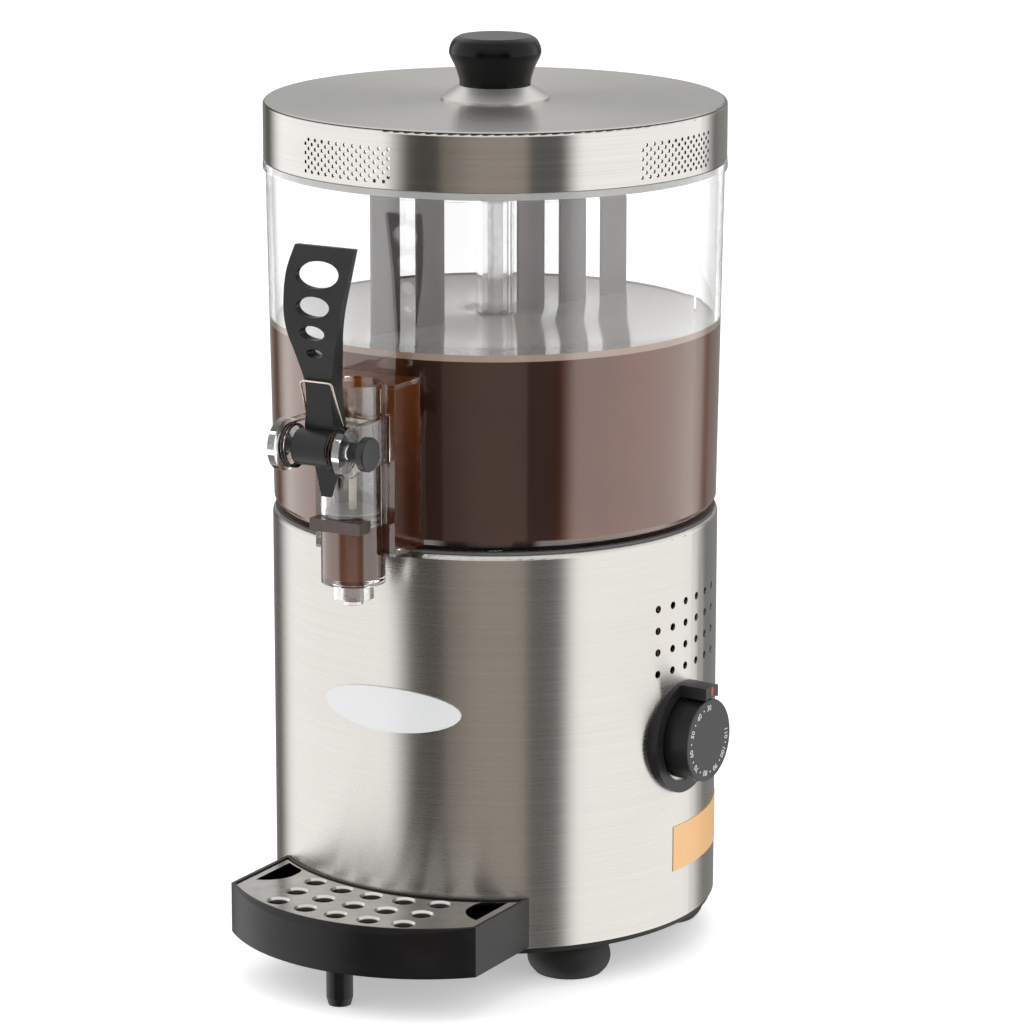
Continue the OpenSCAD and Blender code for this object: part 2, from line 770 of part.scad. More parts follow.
module dial_knob() {
    edge = 0.8;
    socket_len = dial_len - 4;
    color("#1c1c1e") at_axis() facing(dial_angle) translate([dial_back, 0, dial_z]) rotate([0, 90, 0])
        difference() {
            rotate_extrude() right_half() drum_half(dial_r, 0, dial_len, edge);
            translate([0, 0, -over]) cylinder(r = spindle_r + 0.02, h = socket_len + over);
        }
}

module dial_spindle() {
    color("#c0c2c4") at_axis() facing(dial_angle) translate([0, 0, dial_z])
        bar_x(spindle_r, thermostat_face - 12, dial_back + dial_len - 4.2);
}

module thermostat_body() {
    color("#7d7468") at_axis() facing(dial_angle) translate([0, 0, dial_z]) difference() {
        union() {
            translate([thermostat_face - thermostat_l, -thermostat_w / 2, -thermostat_h / 2])
                cube([thermostat_l, thermostat_w, thermostat_h]);
            bar_x(bush_r, thermostat_face - over, housing_r + 0.6);
        }
        bar_x(spindle_r + run_gap, thermostat_face - 12.5, housing_r + 2);
    }
}

z_bulb = z_under_deck - bulb_r - hold_gap;
capillary_x = thermostat_face - 14;
module capillary_tube() {
    color("#b87333") at_axis() facing(dial_angle) {
        translate([capillary_x, 0, dial_z + thermostat_h / 2])
            cylinder(r = capillary_r, h = z_bulb - capillary_bend - dial_z - thermostat_h / 2);
        translate([capillary_x, 0, z_bulb]) rotate([0, 0, 90]) {
            translate([-capillary_bend, 0, -capillary_bend]) rotate([90, 0, 0])
                rotate_extrude(angle = 90) translate([capillary_bend, 0]) circle(r = capillary_r);
            bar_x(capillary_r, -capillary_bend - 2, -capillary_bend);
            bar_x(bulb_r, -capillary_bend - 2 - bulb_len, -capillary_bend - 2);
        }
    }
}

module safety_thermostat() {
    color("#d9d2c2") at_axis() facing(-60) translate([heat_plate_r - 19, 0, 0]) {
        translate([0, 0, z_under_deck - 10]) cylinder(r = 8, h = 10);
        for (s = [-1, 1]) translate([s * 4 - 0.4, -3, z_under_deck - 18]) cube([0.8, 6, 8 + over]);
    }
}

module terminal_block() {
    ways = 5;
    color("#e4e0d6") at_axis() translate([-ways * block_pitch / 2, housing_r - block_inset, z_jacket]) difference() {
        cube([ways * block_pitch, block_l, block_h]);
        for (i = [0:ways - 1]) translate([(i + 0.5) * block_pitch, 0, 0]) {
            translate([0, -over, 5]) rotate([-90, 0, 0]) cylinder(d = block_pitch / 2, h = block_l + 2 * over);
            translate([0, block_l / 2, block_h / 2 + 1]) cylinder(d = 4, h = block_h / 2);
        }
    }
}

// ---- rear fittings -------------------------------------------------------

rocker_r = sqrt(pow(rocker_l / 2, 2) + 6.5 * 6.5);
module switch_frame() {
    flange = 1.8;
    in_w = rocker_w / 2 + rest_gap;
    in_l = rocker_r + rest_gap;
    color("#121212") at_axis() facing(180 - switch_turn) translate([0, 0, switch_z]) difference() {
        union() {
            translate([switch_pivot - 18, -rocker_w / 2 - switch_wall, -rocker_l / 2 - switch_wall])
                cube([housing_r + 0.5 - switch_pivot + 18, rocker_w + 2 * switch_wall, rocker_l + 2 * switch_wall]);
            difference() {
                translate([housing_r - 3, -rocker_w / 2 - switch_wall - flange, -rocker_l / 2 - switch_wall - flange])
                    cube([4.6, rocker_w + 2 * (switch_wall + flange), rocker_l + 2 * (switch_wall + flange)]);
                translate([0, 0, -rocker_l]) cylinder(r = housing_r, h = 2 * rocker_l);
            }
        }
        translate([switch_pivot - rocker_r - rest_gap, -in_w, -in_l]) cube([40, 2 * in_w, 2 * in_l]);
        translate([switch_pivot, 0, 0]) rotate([90, 0, 0]) translate([0, 0, -in_w - 1.4])
            cylinder(r = 1.5 + run_gap, h = 2 * in_w + 2.8);
    }
}

module power_rocker() {
    color("#1a1a1a") at_axis() facing(180 - switch_turn) translate([switch_pivot, 0, switch_z])
        rotate([0, rocker_tilt, 0]) rotate([90, 0, 0]) {
            translate([0, 0, -rocker_w / 2]) linear_extrude(rocker_w)
                polygon([[-3, -3.5], [-3, 3.5], [2, rocker_l / 2], [6.5, rocker_l / 2], [4.4, 0],
                    [6.5, -rocker_l / 2], [2, -rocker_l / 2]]);
            translate([0, 0, -rocker_w / 2 - 1.3]) cylinder(r = 1.5, h = rocker_w + 2.6);
        }
}

module cable_gland() {
    nut_d = gland_hole_r * 2 + 8;
    color("#181818") at_axis() facing(180 + gland_turn) translate([0, 0, z_jacket + gland_up]) difference() {
        union() {
            bar_x(gland_hole_r, housing_r - jacket_t - 9, housing_r + 3);
            translate([housing_r + 0.6, 0, 0]) rotate([0, 90, 0]) cylinder(d = nut_d, h = 5, $fn = 6);
            translate([housing_r - jacket_t - 7.2, 0, 0]) rotate([0, 90, 0]) cylinder(d = nut_d, h = 5, $fn = 6);
            translate([housing_r + 5, 0, 0]) rotate([0, 90, 0]) rotate_extrude() right_half()
                drum_half(gland_nose_d / 2, 0, gland_out - 5, gland_round);
        }
        bar_x(gland_bore_d / 2, housing_r - jacket_t - 10, gland_tip + over);
    }
}

// ---- badge and label -----------------------------------------------------

module badge_plate() {
    color("#e9eaea") at_axis() intersection() {
        ring(housing_r + 0.8, housing_r + 0.05, z_seam - badge_drop - badge_h, z_seam - badge_drop + badge_h);
        translate([0, 0, z_seam - badge_drop]) rotate([90, 0, badge_angle])
            linear_extrude(housing_d) polygon(ellipse(badge_w, badge_h));
    }
}

module rating_label() {
    sweep = label_w / housing_r * 180 / PI;
    color("#f0a860") at_axis() facing(label_angle - sweep / 2)
        translate([0, 0, z_jacket + label_up - label_h / 2])
            rotate_extrude(angle = sweep) translate([housing_r + 0.05, 0]) square([0.25, label_h]);
}

// ---- bowl ----------------------------------------------------------------

module bowl_outline(grow) {
    polygon([[0, z_bowl], [bowl_foot_r - bowl_chamfer_w + grow, z_bowl],
        [bowl_foot_r + grow, z_bowl + bowl_chamfer_h], [bowl_top_r + grow, z_rim], [0, z_rim]]);
}
module bowl_hollow() {
    corner = 4;
    polygon([[0, z_floor], [bowl_r(z_floor + corner) - bowl_wall - corner, z_floor],
        [bowl_r(z_floor + corner) - bowl_wall - 1.2, z_floor + 1.2],
        [bowl_r(z_floor + corner) - bowl_wall, z_floor + corner],
        [bowl_r(z_rim + over) - bowl_wall, z_rim + over], [0, z_rim + over]]);
}
module tap_way(y0, y1) {
    inner_w = channel_w / 2 - channel_wall;
    translate([-inner_w, y0, z_channel + channel_wall])
        cube([2 * inner_w, y1 - y0, z_channel_top - z_channel - 2 * channel_wall]);
}
module bowl() {
    color([0.93, 0.94, 0.94, 0.35]) at_axis() difference() {
        union() {
            rotate_extrude() {
                difference() {
                    union() {
                        bowl_outline(0);
                        translate([0, z_rim - rim_h]) square([rim_r, rim_h]);
                    }
                    bowl_hollow();
                }
            }
            translate([0, 0, z_bowl]) cylinder(r = column_r, h = z_column - z_bowl);
        }
        translate([0, 0, z_bowl - over]) cylinder(d = column_bore_d, h = bowl_h);
        tap_way(-bowl_top_r - 2 * bowl_wall, -bowl_foot_r / 2);
    }
}

// ---- tap -----------------------------------------------------------------

module at_barrel() { translate([0, barrel_y, 0]) children(); }
module at_pivot() { translate([0, pivot_y, pivot_z]) children(); }

module ear(x0) {
    at_pivot() bar_x(ear_d / 2, x0, x0 + ear_t);
    translate([x0, pivot_y, pivot_z - ear_d * 0.44]) cube([ear_t, channel_front - pivot_y + over, ear_d * 0.88]);
}

module tap_body() {
    color([0.93, 0.94, 0.94, 0.35]) at_axis() difference() {
        union() {
            translate([-channel_w / 2, channel_front, z_channel])
                cube([channel_w, -channel_front - bowl_foot_r + 12, z_channel_top - z_channel]);
            at_barrel() translate([0, 0, z_barrel]) cylinder(r = barrel_r, h = z_channel_top - z_barrel);
            at_barrel() translate([0, 0, z_barrel - spout_h])
                cylinder(r = spout_bore_d / 2 + spout_wall, h = spout_h + over);
            at_barrel() ring(spout_ring_d / 2, spout_ring_d / 2 - 1.6, z_barrel - spout_ring_h, z_barrel + over);
            ear(ear_in);
            ear(-ear_out);
        }
        difference() {
            tap_way(channel_front + channel_wall, -bowl_foot_r / 2);
            at_barrel() translate([0, 0, z_barrel]) cylinder(r = barrel_r, h = z_channel_top);
        }
        at_barrel() translate([0, 0, z_seat]) cylinder(r = bore_r, h = z_channel_top);
        at_barrel() translate([0, 0, z_barrel - spout_h - over]) cylinder(d = spout_bore_d, h = spout_h + barrel_floor + 2 * over);
        // way from the channel into the wet end of the barrel
        translate([-9, barrel_y, z_channel + channel_wall]) cube([18, 2 * barrel_r, z_seal - z_channel - channel_wall - 2]);
        // slot for the lever's arm
        translate([-tap_slot_w / 2, barrel_y - barrel_r - over, pivot_z - 6])
            cube([tap_slot_w, barrel_r + over, piston_lift + 9]);
        at_pivot() bar_x(pin_r + run_gap, -ear_out - over, ear_out + over);
        rotate_extrude() bowl_outline(0.05);
    }
}

module front_plate() {
    color("#6b4a3e") at_axis() difference() {
        translate([-plate_w / 2, barrel_y - barrel_r - plate_out, z_bowl + plate_up])
            cube([plate_w, 9 + plate_out, plate_h]);
        at_barrel() translate([0, 0, z_bowl]) cylinder(r = barrel_r + 0.05, h = plate_up + 2 * plate_h);
    }
}

pin_groove_r = pin_r - 0.6;
module pivot_pin() {
    head_round = 1;
    color("#1b1b1b") at_axis() at_pivot() difference() {
        union() {
            bar_x(pin_r, -ear_out - pin_tail_len, ear_out + over);
            bar_x(pin_neck_d / 2, ear_out + hold_gap, ear_out + hold_gap + pin_neck_len + over);
            translate([ear_out + hold_gap + pin_neck_len, 0, 0]) rotate([0, 90, 0]) rotate_extrude() right_half()
                drum_half(pin_head_d / 2, 0, pin_head_len, head_round);
        }
        rotate([0, 90, 0]) ring(pin_r + over, pin_groove_r, -ear_out - clip_t - 2 * hold_gap, -ear_out - hold_gap);
    }
}

module pin_clip() {
    color("#bfc1c3") at_axis() at_pivot() rotate([0, 90, 0]) difference() {
        ring(pin_r + 2.6, pin_groove_r + 0.02, -ear_out - clip_t - hold_gap - 0.05, -ear_out - hold_gap - 0.05);
        translate([-pin_r - 4, -pin_groove_r * 0.8, -ear_out - 3]) cube([pin_r + 4, pin_groove_r * 1.6, 4]);
    }
}

// Stations along the lever: share of its length above the pin (or of its tail), place of the
// front face, thickness and share of the full width.
lever_stations = [
    [-1.00, 7.7, 2.5, 0.135], [-0.46, 7.0, 5.6, 0.30], [0.06, 2.8, 11.5, 0.46], [0.18, 2.2, 11.5, 0.42],
    [0.32, 1.7, 10.5, 0.42], [0.48, -1.4, 8.0, 0.64], [0.59, -3.7, 5.8, 0.81], [0.71, -3.3, 4.6, 0.92],
    [0.87, 1.4, 3.8, 1.00], [1.00, 8.6, 3.2, 0.955]];
function lever_z(s) = s[0] < 0 ? s[0] * tail_len : s[0] * lever_len;
lever_front = spline([for (s = lever_stations) [s[1], lever_z(s)]], 5);
lever_back = spline([for (s = lever_stations) [s[1] + s[2], lever_z(s)]], 5);
lever_side = spline([for (s = lever_stations) [s[3] * lever_w / 2, lever_z(s)]], 5);

// windows get smaller and closer together towards the pin
window_count = 4;
function window_z(i) = lever_len * (0.87 - 0.166 * i + 0.012 * i * i);
function window_scale(i) = 1 - 0.21 * i;

module lever_arm() {
    translate([-arm_w / 2, 0, -arm_h / 2]) cube([arm_w, pivot_reach, arm_h]);
    translate([-arm_w / 2, 0, -arm_h]) cube([arm_w, hub_d / 2 + 3, 2 * arm_h]);
    translate([0, pivot_reach, 0]) bar_x(tip_r, -arm_w / 2, arm_w / 2);
}

module tap_lever() {
    color("#2a2c2e") at_axis() at_pivot() difference() {
        union() {
            intersection() {
                rotate([90, 0, 90]) translate([0, 0, -lever_w]) linear_extrude(2 * lever_w)
                    polygon(concat(lever_front, reversed(lever_back)));
                rotate([90, 0, 0]) translate([0, 0, -60]) linear_extrude(120)
                    polygon(concat(lever_side, [for (p = reversed(lever_side)) [-p[0], p[1]]]));
            }
            bar_x(hub_d / 2, -hub_len / 2, hub_len / 2);
            lever_arm();
        }
        bar_x(pin_r + run_gap, -hub_len, hub_len);
        for (i = [0:window_count - 1]) translate([0, 0, window_z(i)]) rotate([90, 0, 0])
            translate([0, 0, -60]) linear_extrude(120)
                polygon(ellipse(window_w * window_scale(i), window_h * window_scale(i), 32));
    }
}

// ---- lever spring --------------------------------------------------------
// One wire: a tail on the tap, a coil, a bail over the lever's neck, the other coil and tail.

coil_r = coil_d / 2;
coil_pitch = wire_d + 0.6;
coil_x = ear_in - wire_d / 2 - 0.35;                 // outer end of a coil
coil_sweep = 270 + 360 * coil_turns;
coil_inner_x = coil_x - coil_pitch * coil_sweep / 360;
steps_per_turn = 8;
coil_steps = steps_per_turn * coil_sweep / 360;
tail_end_y = pivot_reach - barrel_r * 0.35 - wire_d;
bail_z = lever_len * 0.335;
bail_y = 0.9 - wire_d / 2 - 0.35;
bail_x = lever_w * 0.21 + wire_d / 2 + 1.1;
bail_round = 2.5;

function coil_point(k) = let (a = 90 + coil_sweep * k / coil_steps)
    [-coil_x + (coil_x - coil_inner_x) * k / coil_steps, coil_r * cos(a), coil_r * sin(a)];
half_wire = concat(
    [[-coil_x, tail_end_y, coil_r], [-coil_x, tail_end_y * 0.5, coil_r]],
    [for (k = [0:coil_steps]) coil_point(k)],
    spline([[-coil_inner_x, coil_r, 4], [-bail_x - 0.6, coil_r * 0.62, bail_z * 0.45],
        [-bail_x, coil_r * 0.2, bail_z * 0.8], [-bail_x, bail_y + 0.3, bail_z - bail_round]], 3),
    [for (a = [30, 60, 90]) [-bail_x + bail_round * (1 - cos(a)), bail_y, bail_z - bail_round * (1 - sin(a))]]);
spring_path = concat(half_wire, [for (p = reversed(half_wire)) [-p[0], p[1], p[2]]]);

function unit(v) = v / norm(v);
function tangent(p, i) = unit(p[min(i + 1, len(p) - 1)] - p[max(i - 1, 0)]);
function beside(v, t) = unit(v - (v * t) * t);
function sides_of(p) = [for (i = 0, n = beside([0, 0, 1], tangent(p, 0)); i < len(p);
    i = i + 1, n = i < len(p) ? beside(n, tangent(p, i)) : n) n];
module wire_tube(path, r, sides) {
    normals = sides_of(path);
    rings = [for (i = [0:len(path) - 1]) let (n = normals[i], b = cross(tangent(path, i), n))
        for (k = [0:sides - 1]) path[i] + r * (n * cos(360 * k / sides) + b * sin(360 * k / sides))];
    walls = [for (i = [0:len(path) - 2], k = [0:sides - 1], t = [0, 1])
        let (a = i * sides + k, b = i * sides + (k + 1) % sides)
            t == 0 ? [a, b + sides, b] : [a, a + sides, b + sides]];
    start = [for (k = [1:sides - 2]) [0, k, k + 1]];
    last = (len(path) - 1) * sides;
    end = [for (k = [1:sides - 2]) [last, last + k + 1, last + k]];
    polyhedron(concat(rings), concat(walls, start, end), convexity = 10);
}
spring_gap = min([for (i = [0:len(spring_path) - 1], j = [i + steps_per_turn / 2:len(spring_path) - 1])
    if (j < len(spring_path)) norm(spring_path[i] - spring_path[j])]) - wire_d;
echo(least_gap_in_spring = spring_gap);

module lever_spring() {
    color("#cfc6b2") at_axis() at_pivot() wire_tube(spring_path, wire_d / 2, 6);
}

// ---- piston --------------------------------------------------------------

z_crosshead = pivot_z - crosshead_h / 2;
rod_foot = z_plug + plug_h - 1;
module piston_rod() {
    color("#e8e0cc") at_axis() at_barrel()
        translate([0, 0, rod_foot]) cylinder(d = rod_d, h = z_crosshead + 3 - rod_foot);
}

module piston_head() {
    seat_chamfer = 1;
    color("#d8d2c6") at_axis() at_barrel() difference() {
        union() {
            translate([0, 0, z_plug]) cylinder(r1 = plug_d / 2 - seat_chamfer, r2 = plug_d / 2, h = seat_chamfer);
            translate([0, 0, z_plug + seat_chamfer]) cylinder(d = plug_d, h = plug_h - seat_chamfer);
            translate([0, 0, z_plug + seat_chamfer]) cylinder(r = rod_d / 2 + 2, h = z_seal - z_plug);
            translate([0, 0, z_seal]) cylinder(r = piston_r, h = seal_h);
        }
        for (z = ring_heights) ring(piston_r + over, piston_r - 2 * ring_r - hold_gap,
            z - ring_r - hold_gap / 2, z + ring_r + hold_gap / 2);
        translate([0, 0, rod_foot - 0.05]) cylinder(d = rod_d + 0.04, h = z_seal + seal_h - rod_foot + over);
    }
}

ring_heights = [z_seal + seal_h * 0.27, z_seal + seal_h * 0.73];
module piston_rings() {
    color("#2b2b2b") at_axis() at_barrel() for (z = ring_heights)
        translate([0, 0, z]) rotate_extrude() translate([piston_r - ring_r, 0]) circle(r = ring_r);
}

module crosshead() {
    slot_up = tip_r + rest_gap + 0.2;
    slot_down = tip_r + rest_gap;
    slot_w = arm_w + 2 * rest_gap + 0.2;
    color("#efe8d6") at_axis() at_barrel() difference() {
        translate([-crosshead_w / 2, -crosshead_l / 2, z_crosshead]) cube([crosshead_w, crosshead_l, crosshead_h]);
        translate([-slot_w / 2, -crosshead_l, pivot_z - slot_down]) cube([slot_w, 2 * crosshead_l, slot_up + slot_down]);
        translate([0, 0, z_crosshead - over]) cylinder(d = rod_d + 0.04, h = over + 3.02);
    }
}

// ---- stirrer -------------------------------------------------------------

blades_short = [blade_first_short, blade_first_short + blade_pitch];
blades_long = [blade_first_long, blade_first_long + blade_pitch, blade_first_long + 2 * blade_pitch];
module blade_side(radii) {
    first = radii[0] - blade_w / 2;
    last = radii[len(radii) - 1] + blade_w / 2;
    for (r = radii) translate([r - blade_w / 2, -blade_t / 2, z_blade])
        cube([blade_w, blade_t, z_crossbar + over - z_blade]);
    translate([first, -blade_t / 2, z_blade]) cube([last - first, blade_t, tie_h]);
    translate([stir_hub_r + eye_t / 2, -blade_t / 2, z_crossbar])
        cube([last - stir_hub_r - eye_t / 2, blade_t, crossbar_h]);
}
module stirrer() {
    color("#756a6c") at_axis() rotate([0, 0, -90 - stirrer_turn]) {
        blade_side(blades_short);
        rotate([0, 0, 180]) blade_side(blades_long);
        ring(stir_hub_r + eye_t, stir_hub_r + 0.02, z_crossbar, z_crossbar + crossbar_h);
    }
}

module stirrer_hub() {
    color("#e6e3dc") at_axis() difference() {
        translate([0, 0, z_stir_hub]) cylinder(r = stir_hub_r, h = stir_hub_top - z_stir_hub);
        translate([0, 0, z_stir_hub - over]) cylinder(r = column_r + run_gap, h = z_hub_seat - z_stir_hub + over);
        translate([0, 0, z_hub_seat - over])
            cylinder(d = hex_d + 2 * rest_gap, h = z_shaft_top - z_hub_seat + rest_gap + over, $fn = 6);
    }
}

// ---- lid -----------------------------------------------------------------

module vent_holes() {
    for (g = [0:vent_groups - 1], r = [0:vent_rows - 1], c = [0:vent_cols - 1])
        facing(lid_turn + g * 360 / vent_groups + (c - (vent_cols - 1) / 2 + (r % 2) / 2 - 0.25) * vent_step)
            translate([0, 0, z_lid + vent_start + r * vent_pitch])
                bar_x(vent_hole_d / 2, lid_r - lid_t - over, lid_r + over, $fn = 24);
}

module lid_cover() {
    color("#cfcfcd") at_axis() difference() {
        rotate_extrude() difference() {
            right_half() drum_half(lid_r, z_lid, z_lid_top, lid_round);
            right_half() drum_half(lid_r - lid_t, z_lid - over, z_lid_top - lid_t, lid_round - lid_t);
        }
        vent_holes();
        translate([0, 0, z_lid_top - 2 * lid_t]) cylinder(d = knob_screw_d + 2 * hold_gap, h = 4 * lid_t);
    }
}

spigot_r = bowl_r(z_rim - spigot_h) - bowl_wall - rest_gap;
module lid_ring() {
    web_t = 2;
    color("#dcdcd8") at_axis() difference() {
        union() {
            translate([0, 0, z_lid]) cylinder(r = lid_r - lid_t, h = web_t);
            translate([0, 0, z_lid - rest_gap - spigot_h]) cylinder(r = spigot_r, h = spigot_h + rest_gap + over);
        }
        translate([0, 0, z_lid - spigot_h - over]) cylinder(r = spigot_r - spigot_t, h = spigot_h + web_t + 2 * over);
    }
}

module knob_collar() {
    foot_edge = 1;
    color("#d8d8d6") at_axis() translate([0, 0, z_lid_top]) difference() {
        union() {
            cylinder(d = collar_d, h = foot_edge);
            translate([0, 0, foot_edge]) cylinder(d1 = collar_d, d2 = knob_foot_d + 0.4, h = collar_h - foot_edge);
        }
        translate([0, 0, -over]) cylinder(d = knob_screw_d + 2 * hold_gap, h = collar_h + 2 * over);
    }
}

screw_bite = 15;
module lid_knob() {
    r = knob_d / 2;
    foot = knob_foot_d / 2;
    color("#171717") at_axis() translate([0, 0, z_knob]) difference() {
        rotate_extrude() polygon(concat([[0, 0]],
            spline([[foot, 0], [foot + 0.2, knob_h * 0.12], [foot + (r - foot) * 0.42, knob_h * 0.37],
                [r, knob_h * 0.63], [r - 0.4, knob_h * 0.8], [r - 2.2, knob_h * 0.93], [r - 5, knob_h]], 5),
            [[0, knob_h]]));
        translate([0, 0, -over]) cylinder(d = knob_screw_d + 0.1, h = screw_bite + 0.5 + over);
    }
}

module knob_screw() {
    head_h = 3.4;
    color("silver") at_axis() {
        translate([0, 0, z_lid_top - lid_t - head_h]) cylinder(d = knob_screw_d * 2, h = head_h);
        translate([0, 0, z_lid_top - lid_t]) cylinder(d = knob_screw_d, h = lid_t + collar_h + screw_bite);
    }
}

// ---- drip tray -----------------------------------------------------------

// the tray's plan: straight sides, a bowed front and a back that follows the jacket
module tray_plan(inset, back_r) {
    difference() {
        intersection() {
            translate([0, tray_arc_y]) circle(r = tray_arc - inset, $fn = 180);
            translate([-tray_w / 2 + inset, -tray_reach]) square([tray_w - 2 * inset, tray_reach - 60]);
        }
        circle(r = back_r, $fn = 180);
    }
}

tray_back_r = housing_r + tray_back_gap;

// a cone from a flatter arc through the front corners, so the chamfer is widest in the middle
module front_chamfer() {
    bow = tray_bow - lip_run;
    arc = (pow(tray_w / 2, 2) + bow * bow) / (2 * bow);
    difference() {
        translate([-tray_w, -tray_reach - over, z_tray_top - lip_drop]) cube([2 * tray_w, tray_bow + over, lip_drop + over]);
        translate([0, arc - tray_corner - bow, z_tray_top - lip_drop - over])
            cylinder(r1 = arc + lip_run * (1 + over / lip_drop), r2 = arc - lip_run * over / lip_drop,
                h = lip_drop + 2 * over, $fn = 180);
    }
}
module drip_tray() {
    color("#232323") at_axis() difference() {
        translate([0, 0, z_tray]) linear_extrude(tray_h) tray_plan(0, tray_back_r);
        translate([0, 0, z_tray - over]) linear_extrude(z_tray_floor - z_tray + over)
            tray_plan(tray_wall, tray_back_r + tray_back_wall);
        translate([0, 0, z_tray_floor + tray_floor_t]) linear_extrude(tray_h)
            tray_plan(tray_wall, tray_back_r + tray_back_wall);
        translate([0, 0, z_ledge]) linear_extrude(tray_h)
            tray_plan(tray_wall - ledge_w, tray_back_r + tray_back_wall - ledge_back);
        front_chamfer();
        for (s = [-1, 1]) translate([s * rail_x - rail_w / 2 - 0.4, -rail_reach - 0.4, z_tray - over])
            cube([rail_w + 0.8, rail_reach - rail_root + 10, z_tray_floor - z_tray + over]);
    }
}

module tray_bracket() {
    color("#8b8d8f") at_axis() translate([0, 0, z_jacket]) {
        for (s = [-1, 1]) translate([s * rail_x - rail_w / 2, -rail_reach, 0]) cube([rail_w, rail_reach - rail_root, rail_t]);
        translate([-rail_x - rail_w / 2, -rail_root - rail_strip, 0]) cube([2 * rail_x + rail_w, rail_strip, rail_t]);
    }
}

module tray_leg() {
    tip_h = 4;
    leg_gap = 0.3;
    color("#1a1a1a") at_axis() translate([0, -leg_reach, 0]) {
        translate([0, 0, leg_gap + tip_h]) cylinder(d = leg_d, h = z_tray_floor - leg_gap - tip_h);
        translate([0, 0, leg_gap]) cylinder(d1 = leg_d - 2, d2 = leg_d, h = tip_h);
    }
}

module each_drain() {
    for (r = [0:drain_rows - 1], c = [0:drain_cols - 1])
        let (x = (c - (drain_cols - 1) / 2) * drain_pitch, ring_r = drain_first + r * drain_row_pitch)
            translate([x, -sqrt(ring_r * ring_r - x * x), 0]) children();
}

grille_inset = tray_wall - ledge_w + rest_gap;
grille_back_r = tray_back_r + tray_back_wall - ledge_back + rest_gap;
module grip_cut(inset) {
    for (s = [-1, 1]) difference() {
        intersection() {
            translate([s * (tray_w / 2 - grille_inset), grip_cut_y]) circle(r = grip_cut_r - inset);
            translate([s * (tray_w / 2 - 6 - grip_cut_w / 2) - grip_cut_w / 2 + inset, grip_cut_y - 40])
                square([grip_cut_w - 2 * inset, 80]);
        }
        circle(r = grille_back_r + ledge_back + 0.1 + inset);
    }
}
module tray_grille() {
    z0 = z_ledge + rest_gap;
    drain_hole_r = drain_d / 2 - 2;
    color("#c4c4c2") at_axis() {
        difference() {
            translate([0, 0, z0]) linear_extrude(grille_t)
                tray_plan(grille_inset, grille_back_r);
            each_drain() translate([0, 0, z0 - over]) cylinder(d = drain_d, h = grille_t + 2 * over);
            translate([0, 0, z0 - over]) linear_extrude(grille_t + 2 * over) grip_cut(0);
        }
        translate([0, 0, z0 - grip_lip]) linear_extrude(grille_t + grip_lip) difference() {
            grip_cut(0);
            grip_cut(0.8);
        }
        each_drain() translate([0, 0, z0]) rotate_extrude()
            polygon([[drain_d / 2, grille_t], [drain_d / 2, 0], [drain_hole_r, -dish_depth],
                [drain_hole_r - 0.8, -dish_depth + 0.4], [drain_d / 2 - 0.9, grille_t]]);
    }
}

// ---- the machine ---------------------------------------------------------

rubber_feet();
foot_screws();
base_plate();
housing_shell();
top_deck();
heating_plate();
heating_element();
bowl_gasket();
motor();
gearbox();
motor_bracket();
bracket_screws();
shaft_bush();
thermostat_body();
capillary_tube();
safety_thermostat();
terminal_block();
switch_frame();
power_rocker();
cable_gland();
dial_bezel();
dial_knob();
dial_spindle();
badge_plate();
rating_label();
tray_bracket();
drive_shaft();
bowl();
tap_body();
front_plate();
pivot_pin();
pin_clip();
lever_spring();
tap_lever();
piston_rod();
piston_head();
piston_rings();
crosshead();
stirrer();
stirrer_hub();
lid_cover();
lid_ring();
knob_collar();
lid_knob();
knob_screw();
drip_tray();
tray_leg();
tray_grille();
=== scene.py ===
import math

import bmesh
import bpy
from mathutils import Matrix, Vector


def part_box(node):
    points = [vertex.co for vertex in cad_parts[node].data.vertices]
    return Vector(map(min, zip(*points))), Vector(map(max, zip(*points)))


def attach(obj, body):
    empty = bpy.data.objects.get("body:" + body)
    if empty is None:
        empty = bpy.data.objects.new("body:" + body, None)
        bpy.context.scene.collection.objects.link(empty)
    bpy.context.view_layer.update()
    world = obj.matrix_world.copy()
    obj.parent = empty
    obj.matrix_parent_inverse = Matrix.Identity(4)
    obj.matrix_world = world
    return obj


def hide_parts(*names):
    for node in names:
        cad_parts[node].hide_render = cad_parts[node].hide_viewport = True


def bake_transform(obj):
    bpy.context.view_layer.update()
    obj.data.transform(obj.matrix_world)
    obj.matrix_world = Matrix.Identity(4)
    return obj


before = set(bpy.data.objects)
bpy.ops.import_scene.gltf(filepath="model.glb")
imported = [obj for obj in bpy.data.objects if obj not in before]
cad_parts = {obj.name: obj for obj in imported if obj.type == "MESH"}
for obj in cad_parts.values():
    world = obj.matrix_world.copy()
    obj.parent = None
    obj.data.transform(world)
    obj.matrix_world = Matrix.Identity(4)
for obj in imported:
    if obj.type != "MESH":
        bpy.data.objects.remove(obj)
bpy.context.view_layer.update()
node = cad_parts


# ---------------------------------------------------------------- jacket and lip
# The drum round the works: stainless sheet, rolled and seam welded, its top edge turned in to a lip.
# It is brushed round the drum, so its reflections smear up and down in tall bands.

